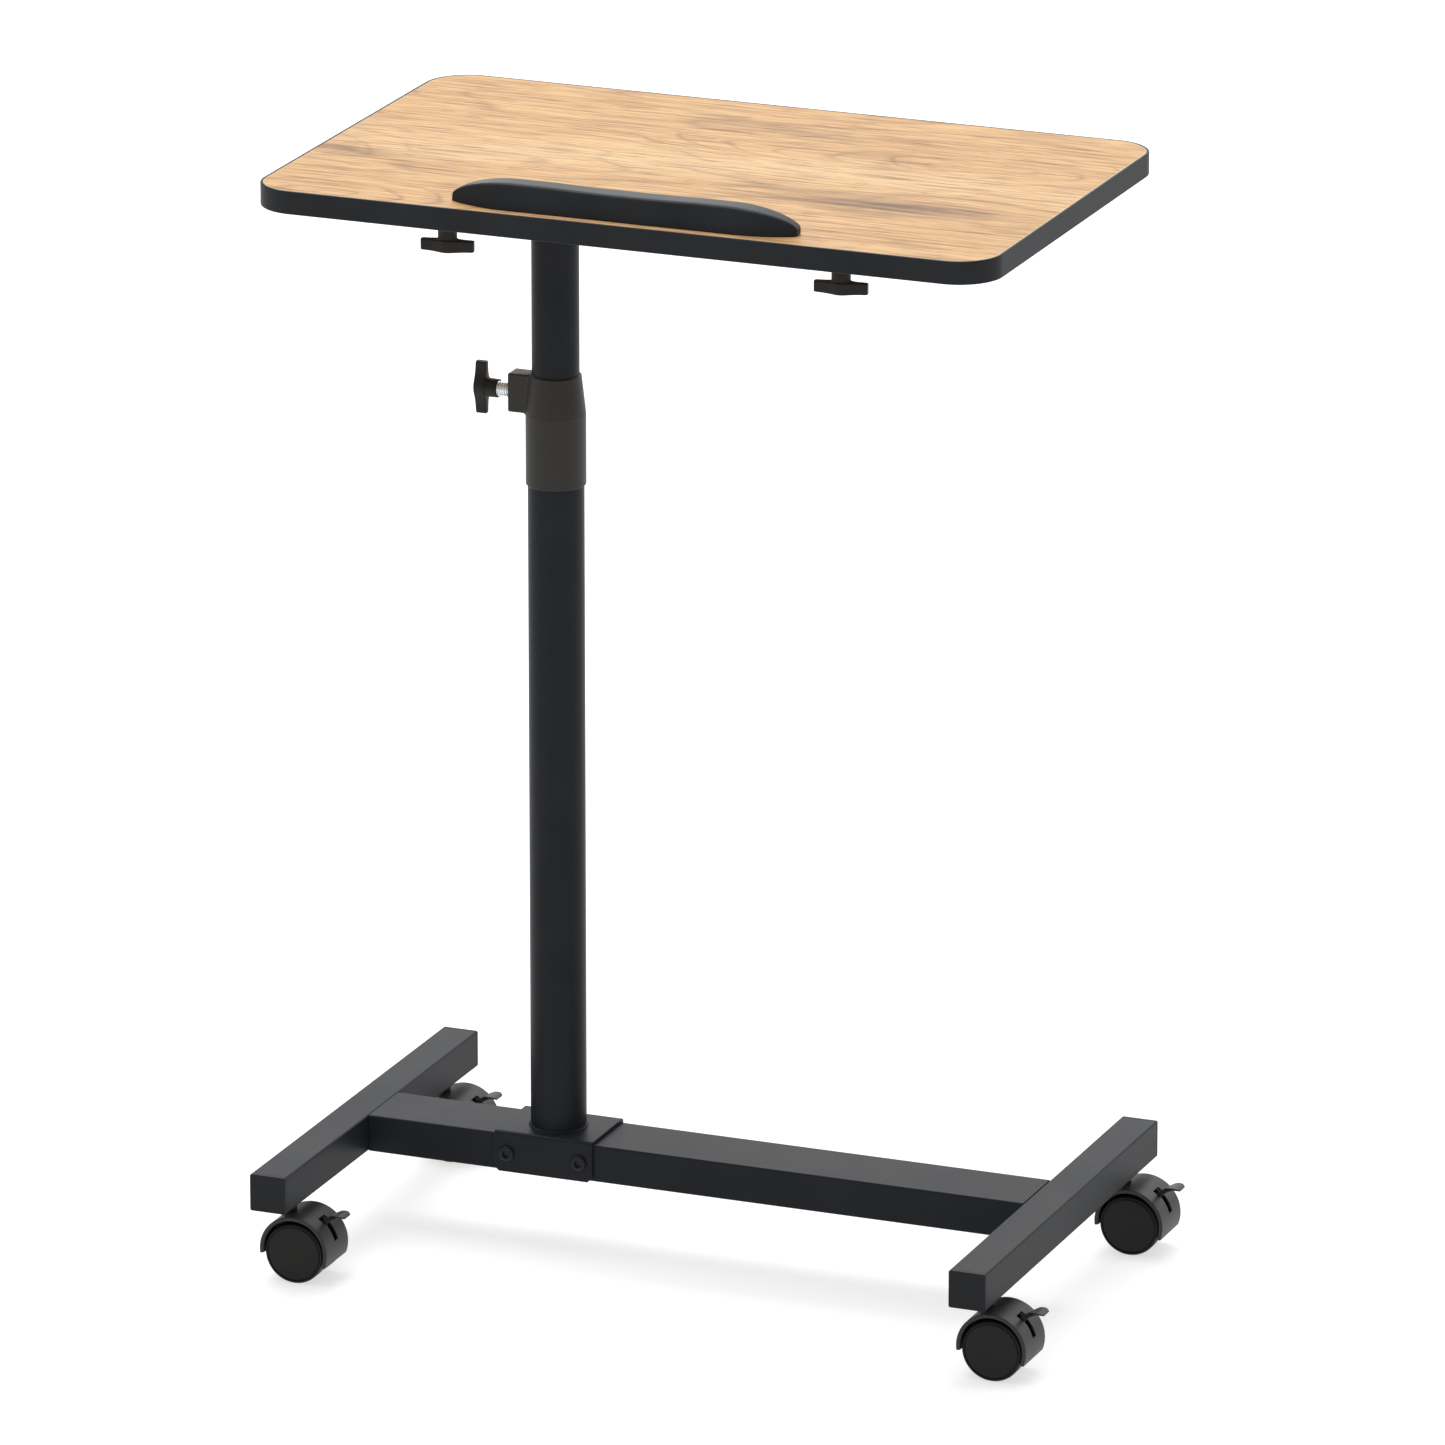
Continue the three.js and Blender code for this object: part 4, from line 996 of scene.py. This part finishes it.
def grooved(node, groove_up):
    """Side view of a clamp block, in Y and Z, with a half-round groove for the rod in its
    lower or upper edge."""
    low, high = cad_box(node)
    radius = rod_radius + GROOVE_PLAY
    rise = (high[2] if groove_up else low[2]) - rod_place[2]
    half = math.sqrt(radius ** 2 - rise ** 2)
    start = math.atan2(rise, half)
    if groove_up:
        angle = np.linspace(start, -math.pi - start, 13)
        corners = [(low[1], high[2]), (low[1], low[2]), (high[1], low[2]), (high[1], high[2])]
    else:
        angle = np.linspace(math.pi - start, start, 13)
        corners = [(high[1], low[2]), (high[1], high[2]), (low[1], high[2]), (low[1], low[2])]
    arc = rod_place[1:] + radius * np.stack([np.cos(angle), np.sin(angle)], -1)
    return np.concatenate([arc, np.array(corners, float)]), low, high


grip_cos, grip_sin = math.cos(BOARD_KNOB_TURN), math.sin(BOARD_KNOB_TURN)
turned_left = [[grip_cos, -grip_sin, 0], [grip_sin, grip_cos, 0], [0, 0, 1]]
for side in ("left", "right"):
    saddle_side, saddle_low, saddle_high = grooved(f"board_saddle_{side}", False)
    fit(
        f"clamp_saddle_{side}", [plate(saddle_side, saddle_low[0], saddle_high[0], CLAMP_SOFT, "x")],
        black_steel, "board", [f"board_saddle_{side}"],
    )
    jaw_side, jaw_low, jaw_high = grooved(f"board_jaw_{side}", True)
    fit(
        f"clamp_jaw_{side}", [plate(jaw_side, jaw_low[0], jaw_high[0], CLAMP_SOFT, "x")],
        black_steel, f"jaw_{side}", [f"board_jaw_{side}"],
    )
    grip_low, grip_high = cad_box(f"board_knob_{side}")
    board_hub = grip_high[2] - grip_low[2] - KNOB_DEEP - KNOB_CROWN
    grip_place = ((grip_low[0] + grip_high[0]) / 2, (grip_low[1] + grip_high[1]) / 2, grip_low[2])
    fit(
        f"board_t_knob_{side}", knob_skins(board_hub, turned_left, grip_place, BOARD_STUD_RADIUS),
        knob_plastic, f"knob_{side}", [f"board_knob_{side}"],
    )
    repaint(zinc_steel, f"board_stud_{side}")

# ---------------------------------------------------------------------------------------
# Casters: a moulded hood over two wheels, swivelling on a zinc stem that screws into the
# leg. Each has a brake pedal that comes out of a T-shaped slot in the hood.

HOOD_RADIUS = 28.5
HOOD_WALL = 3.2
HOOD_HALF = 21.3
HOOD_LIFT = 1.8
HOOD_FROM, HOOD_TO = -21.0, 188.0
SLOT_FROM, SLOT_TO, WINDOW_FROM = 14.0, 59.0, 46.0
SLIT_HALF, WINDOW_HALF = 3.4, 5.8
HOOD_EASE = 0.5
HOOD_GRID = 15.0
WEB_HALF = 6.0
WEB_FOOT = -8.5
WEB_REACH = 10.0
CORE_REACH = 4.0
WEB_DRAW = 1.2
WHEEL_SHOULDER = 1.9
WHEEL_GROOVE = 2.5
PEDAL_PIVOT = np.array([12.0, 14.0])
PEDAL_KNEE = np.array([27.5, 28.7])
PEDAL_END = np.array([37.3, 28.9])
PEDAL_RISE_PULL = np.array([17.6, 23.4])
PEDAL_LEVEL_PULL = np.array([33.0, 31.9])
# Half width and half thickness of the pedal at places along X from the axle.
PEDAL_WIDTHS = (
    (12, 2.9), (24.7, 2.9), (25.8, 3.7), (29.8, 7.7), (34.8, 7.8), (36.8, 5.9), (37.3, 5.2),
)
PEDAL_THICKNESSES = ((12, 2.6), (18, 2.2), (26, 1.7), (32, 1.0), (36.8, 0.65), (37.3, 0.4))
STEM_RADIUS = 4.0
STEM_PITCH = 1.25
STEM_THREAD_DEPTH = 0.55

caster_plastic = moulded(
    "caster_plastic", (0.0240, 0.0236, 0.0222), roughness=0.46, grain=1300, depth=0.00002, shine=0.30,
)
wheel_plastic = moulded(
    "wheel_plastic", (0.0070, 0.0069, 0.0061), roughness=0.44, grain=1300, depth=0.000015, shine=0.20,
)


def ring_arc(radius, start, end, count):
    """Points of an arc about the axle, in X and Z, angles in degrees."""
    angle = np.radians(np.linspace(start, end, count))
    return radius * np.stack([np.cos(angle), np.sin(angle)], -1)


def hood_wall(middle):
    """The half-round wall as a shell with a T-shaped hole: a grid over angle and Y, laid
    on the outer and the inner radius, with the hole's cells left out of both. Each edge
    that only one cell of the grid has is closed by a quad between the two radii."""
    angle = np.concatenate([
        np.linspace(HOOD_FROM, SLOT_FROM, 13)[:-1], np.linspace(SLOT_FROM, WINDOW_FROM, 12)[:-1],
        np.linspace(WINDOW_FROM, SLOT_TO, 6)[:-1], np.linspace(SLOT_TO, HOOD_TO, 45),
    ])
    y = np.array([
        -HOOD_HALF, -HOOD_HALF + HOOD_EASE, -HOOD_GRID, -WINDOW_HALF, -SLIT_HALF,
        SLIT_HALF, WINDOW_HALF, HOOD_GRID, HOOD_HALF - HOOD_EASE, HOOD_HALF,
    ])
    mid_angle = (angle[1:] + angle[:-1])[:, None] / 2
    mid_y = np.abs((y[1:] + y[:-1]) / 2)
    slit = (mid_angle > SLOT_FROM) & (mid_angle < SLOT_TO) & (mid_y < SLIT_HALF)
    window = (mid_angle > WINDOW_FROM) & (mid_angle < SLOT_TO) & (mid_y < WINDOW_HALF)
    kept = ~(slit | window)
    eased_in = np.where(np.abs(y) > HOOD_HALF - HOOD_EASE / 2, HOOD_EASE, 0.0)
    grids = []
    for radius, side in ((HOOD_RADIUS, -1), (HOOD_RADIUS - HOOD_WALL, 1)):
        r = radius + side * eased_in
        a = np.radians(angle)[:, None]
        grids.append(np.stack([r * np.cos(a), 0 * a + y, r * np.sin(a) + HOOD_LIFT], -1))
    count = grids[0].shape[0] * grids[0].shape[1]
    index = np.arange(count).reshape(grids[0].shape[:2])
    cells = np.stack([index[:-1, :-1], index[1:, :-1], index[1:, 1:], index[:-1, 1:]], -1)[kept]
    edges = np.stack([cells, np.roll(cells, -1, 1)], -1).reshape(-1, 2)
    keys = np.sort(edges, 1) @ np.array([count, 1])
    _, first, times = np.unique(keys, return_index=True, return_counts=True)
    border = edges[first[times == 1]]
    walls = np.stack([border[:, 1], border[:, 0], border[:, 0] + count, border[:, 1] + count], -1)
    faces = np.concatenate([cells, cells[:, ::-1] + count, walls])
    points = np.concatenate([g.reshape(-1, 3) for g in grids]) + middle
    return points, faces.tolist()


def hood_skins(middle, stem_x, neck_top):
    """Wall, two web cheeks on either side of the pedal, a core between them behind the
    pedal, and the neck that the stem turns in."""
    lift = np.array([0, HOOD_LIFT])
    inside = HOOD_RADIUS - WEB_DRAW
    cheek_foot = [(-WEB_REACH, WEB_FOOT), (WEB_REACH, WEB_FOOT)]
    cheek = np.concatenate([ring_arc(inside, -20, 186, 40) + lift, cheek_foot])
    core_foot = [(-WEB_REACH, WEB_FOOT), (CORE_REACH, WEB_FOOT)]
    core = np.concatenate([ring_arc(inside, 90, 186, 20) + lift, core_foot])
    skins = [hood_wall(middle)]
    for outline, low, high in (
        (cheek, -WEB_HALF, -SLIT_HALF), (cheek, SLIT_HALF, WEB_HALF),
        (core, -SLIT_HALF + 0.05, SLIT_HALF - 0.05),
    ):
        points, faces = plate(outline, low, high, 0.3, "y")
        skins.append((points + middle, faces))
    top = neck_top - middle[2]
    foot = math.sqrt(HOOD_RADIUS ** 2 - (stem_x - middle[0]) ** 2) + HOOD_LIFT
    neck = [
        (WEB_HALF - 0.6, foot - 8), (WEB_HALF + 0.8, foot - 2.5), (WEB_HALF + 0.3, foot),
        (WEB_HALF, foot + 0.8), (WEB_HALF, top - 0.6), (WEB_HALF - 0.6, top),
    ]
    skins.append(turned(neck, "z", (stem_x, middle[1], middle[2]), 48))
    return skins


def wheel_skin(middle, radius, inner, outer, side):
    """A wheel turned about Y: a flat-topped tread with rounded shoulders, a slightly
    domed face with one narrow groove near its rim, and a hub on the inner side."""
    quarter = np.linspace(0, math.pi / 2, 6)
    drawn = WHEEL_SHOULDER * (1 - np.sin(quarter))
    travel = WHEEL_SHOULDER * (1 - np.cos(quarter))
    groove = radius - WHEEL_GROOVE
    rim_out = np.stack([np.maximum(radius - drawn, groove + 0.5), outer - travel], -1)
    rim_in = np.stack([radius - travel, inner + drawn], -1)
    face = [
        (0.4, outer - 0.05), (8.0, outer - 0.06), (16.0, outer - 0.10), (groove - 0.9, outer - 0.16),
        (groove - 0.5, outer - 0.4), (groove - 0.3, outer - 1.0), (groove + 0.2, outer - 1.0),
        (groove + 0.35, outer - 0.3),
    ]
    back = [(radius - 4, inner), (radius - 5.5, inner + 1.6), (9.5, inner + 1.6), (8.5, inner), (0.4, inner)]
    profile = np.concatenate([face, rim_out, rim_in, back])
    profile[:, 1] *= side
    return turned(profile, "y", middle, 96)


def pedal_skins(middle):
    """The lever: a rounded section carried along two arcs that rise out of the hood and
    level off, flaring into a paddle with clipped corners; and its trunnion."""
    t = np.linspace(0, 1, 25)[:, None]
    rise = bent(PEDAL_PIVOT, PEDAL_RISE_PULL, PEDAL_KNEE, t)
    level = bent(PEDAL_KNEE, PEDAL_LEVEL_PULL, PEDAL_END, t)
    path = np.concatenate([rise, level[1:]])
    x = path[:, 0]
    slope = np.gradient(path, axis=0)
    normal = np.stack([-slope[:, 1], slope[:, 0]], -1) / np.linalg.norm(slope, axis=1, keepdims=True)
    half_width = np.interp(x, *np.transpose(PEDAL_WIDTHS))
    half_thick = np.interp(x, *np.transpose(PEDAL_THICKNESSES))
    section = rounded(half_width, half_thick, half_thick * 0.75, 4)
    points = np.stack([
        x[:, None] + normal[:, :1] * section[..., 1],
        section[..., 0],
        path[:, 1:] + normal[:, 1:] * section[..., 1],
    ], -1)
    pivot = (PEDAL_PIVOT[0], 0, PEDAL_PIVOT[1])
    pin_end = WEB_HALF - 0.3
    pin_profile = [(1.7, -pin_end), (2.0, 0.3 - pin_end), (2.0, pin_end - 0.3), (1.7, pin_end)]
    trunnion = turned(pin_profile, "y", pivot, 24)
    eye = turned([(2.8, -2.9), (3.2, -2.5), (3.2, 2.5), (2.8, 2.9)], "y", pivot, 32)
    return [(p + middle, f) for p, f in (skin(points), trunnion, eye)]


def stem_skins(node, neck_top, leg_bottom):
    """A threaded stem with a hexagon collar between the hood's neck and the leg."""
    low, high = cad_box(node)
    place = ((low[0] + high[0]) / 2, (low[1] + high[1]) / 2, 0)
    flats = (high[1] - low[1]) / 2 * math.cos(math.pi / 6) - 0.1
    six = hexagon(np.linspace(0, 2 * math.pi, ROUND_STEPS, endpoint=False), flats)
    chamfered = np.minimum(six, flats * 1.06)
    bottom, top = neck_top + 0.3, leg_bottom - 0.1
    radii = [flats - 0.5, chamfered, six, six, chamfered, flats - 0.5]
    heights = [bottom, bottom + 0.25, bottom + 0.9, top - 0.9, top - 0.25, top]
    nut = ringed(radii, heights, "z", place)
    pin_profile = [(STEM_RADIUS - 0.6, low[2]), (STEM_RADIUS, low[2] + 0.6), (STEM_RADIUS, bottom + 1)]
    pin = turned(pin_profile, "z", place, 40)
    thread = threaded(top - 1, high[2], STEM_RADIUS, STEM_PITCH, STEM_THREAD_DEPTH, "z", place)
    return [nut, pin, thread]


left_leg_bottom = cad_box("left_leg")[0][2]
for corner in ("front_left", "front_right", "rear_left", "rear_right"):
    name = f"caster_{corner}"
    axle_low, axle_high = cad_box(f"{name}_axle")
    axle_middle = (axle_low + axle_high) / 2
    stem_low, stem_high = cad_box(f"{name}_stem")
    stem_x = (stem_low[0] + stem_high[0]) / 2
    hood_neck_top = cad_box(f"{name}_hood")[1][2]
    fit(
        f"{corner}_hood", hood_skins(axle_middle, stem_x, hood_neck_top),
        caster_plastic, f"{name}_fork", [f"{name}_hood"],
    )
    for place, side in (("front", -1), ("rear", 1)):
        wheel_low, wheel_high = cad_box(f"{name}_wheel_{place}")
        spread = np.sort(np.abs([wheel_low[1] - axle_middle[1], wheel_high[1] - axle_middle[1]]))
        wheel = wheel_skin(axle_middle, axle_middle[2], spread[0], spread[1], side)
        fit(
            f"{corner}_{place}_wheel", [wheel],
            wheel_plastic, f"{name}_roller_{place}", [f"{name}_wheel_{place}"],
        )
    fit(
        f"{corner}_pedal", pedal_skins(axle_middle),
        caster_plastic, f"{name}_brake", [f"{name}_pedal"],
    )
    fit(
        f"{corner}_stem", stem_skins(f"{name}_stem", hood_neck_top, left_leg_bottom),
        zinc_steel, "base", [f"{name}_stem"], crease=60,
    )
    repaint(zinc_steel, f"{name}_axle")

# ---------------------------------------------------------------------------------------
# Studio: a wide white floor that glows a little, like a light table, so that shadows stay
# faint; a dim even sky, a large soft lamp high overhead and a wide panel at the back.

FLOOR_HALF = 12.0
FLOOR_WHITE = 0.50
FLOOR_GLOW = 0.63
FLOOR_ROUGHNESS = 0.9
SKY_STRENGTH = 0.50

floor_mesh = bpy.data.meshes.new("floor")
floor_corners = [(-1, -1), (1, -1), (1, 1), (-1, 1)]
floor_mesh.from_pydata([(FLOOR_HALF * x, FLOOR_HALF * y, 0) for x, y in floor_corners], [], [(0, 1, 2, 3)])
floor = bpy.data.objects.new("floor", floor_mesh)
bpy.context.scene.collection.objects.link(floor)
floor_paint = bpy.data.materials.new("floor_paint")
floor_paint.use_nodes = True
floor_surface = floor_paint.node_tree.nodes["Principled BSDF"]
floor_surface.inputs["Base Color"].default_value = (FLOOR_WHITE, FLOOR_WHITE, FLOOR_WHITE, 1)
floor_surface.inputs["Roughness"].default_value = FLOOR_ROUGHNESS
floor_surface.inputs["Specular IOR Level"].default_value = 0.0
floor_surface.inputs["Emission Color"].default_value = (1, 1, 1, 1)
floor_surface.inputs["Emission Strength"].default_value = FLOOR_GLOW
floor_mesh.materials.append(floor_paint)

sky = bpy.data.worlds.new("sky")
sky.use_nodes = True
sky.node_tree.nodes["Background"].inputs["Color"].default_value = (1, 1, 1, 1)
sky.node_tree.nodes["Background"].inputs["Strength"].default_value = SKY_STRENGTH
bpy.context.scene.world = sky


def soft_lamp(name, place, target, width, height, power):
    """A rectangular lamp in metres and watts, turned to face a point."""
    data = bpy.data.lights.new(name, "AREA")
    data.shape = "RECTANGLE"
    data.size = width
    data.size_y = height
    data.energy = power
    lamp = bpy.data.objects.new(name, data)
    lamp.location = place
    lamp.rotation_euler = (Vector(target) - lamp.location).to_track_quat("-Z", "Y").to_euler()
    bpy.context.scene.collection.objects.link(lamp)


soft_lamp("overhead_lamp", (-1.2, 1.2, 7.0), target=(0, 0, 0.4), width=6.0, height=6.0, power=520)
soft_lamp("back_panel", (0.0, 7.5, 3.0), target=(0, 0, 1.0), width=10.0, height=5.0, power=260)

bpy.context.scene.view_settings.view_transform = "Standard"
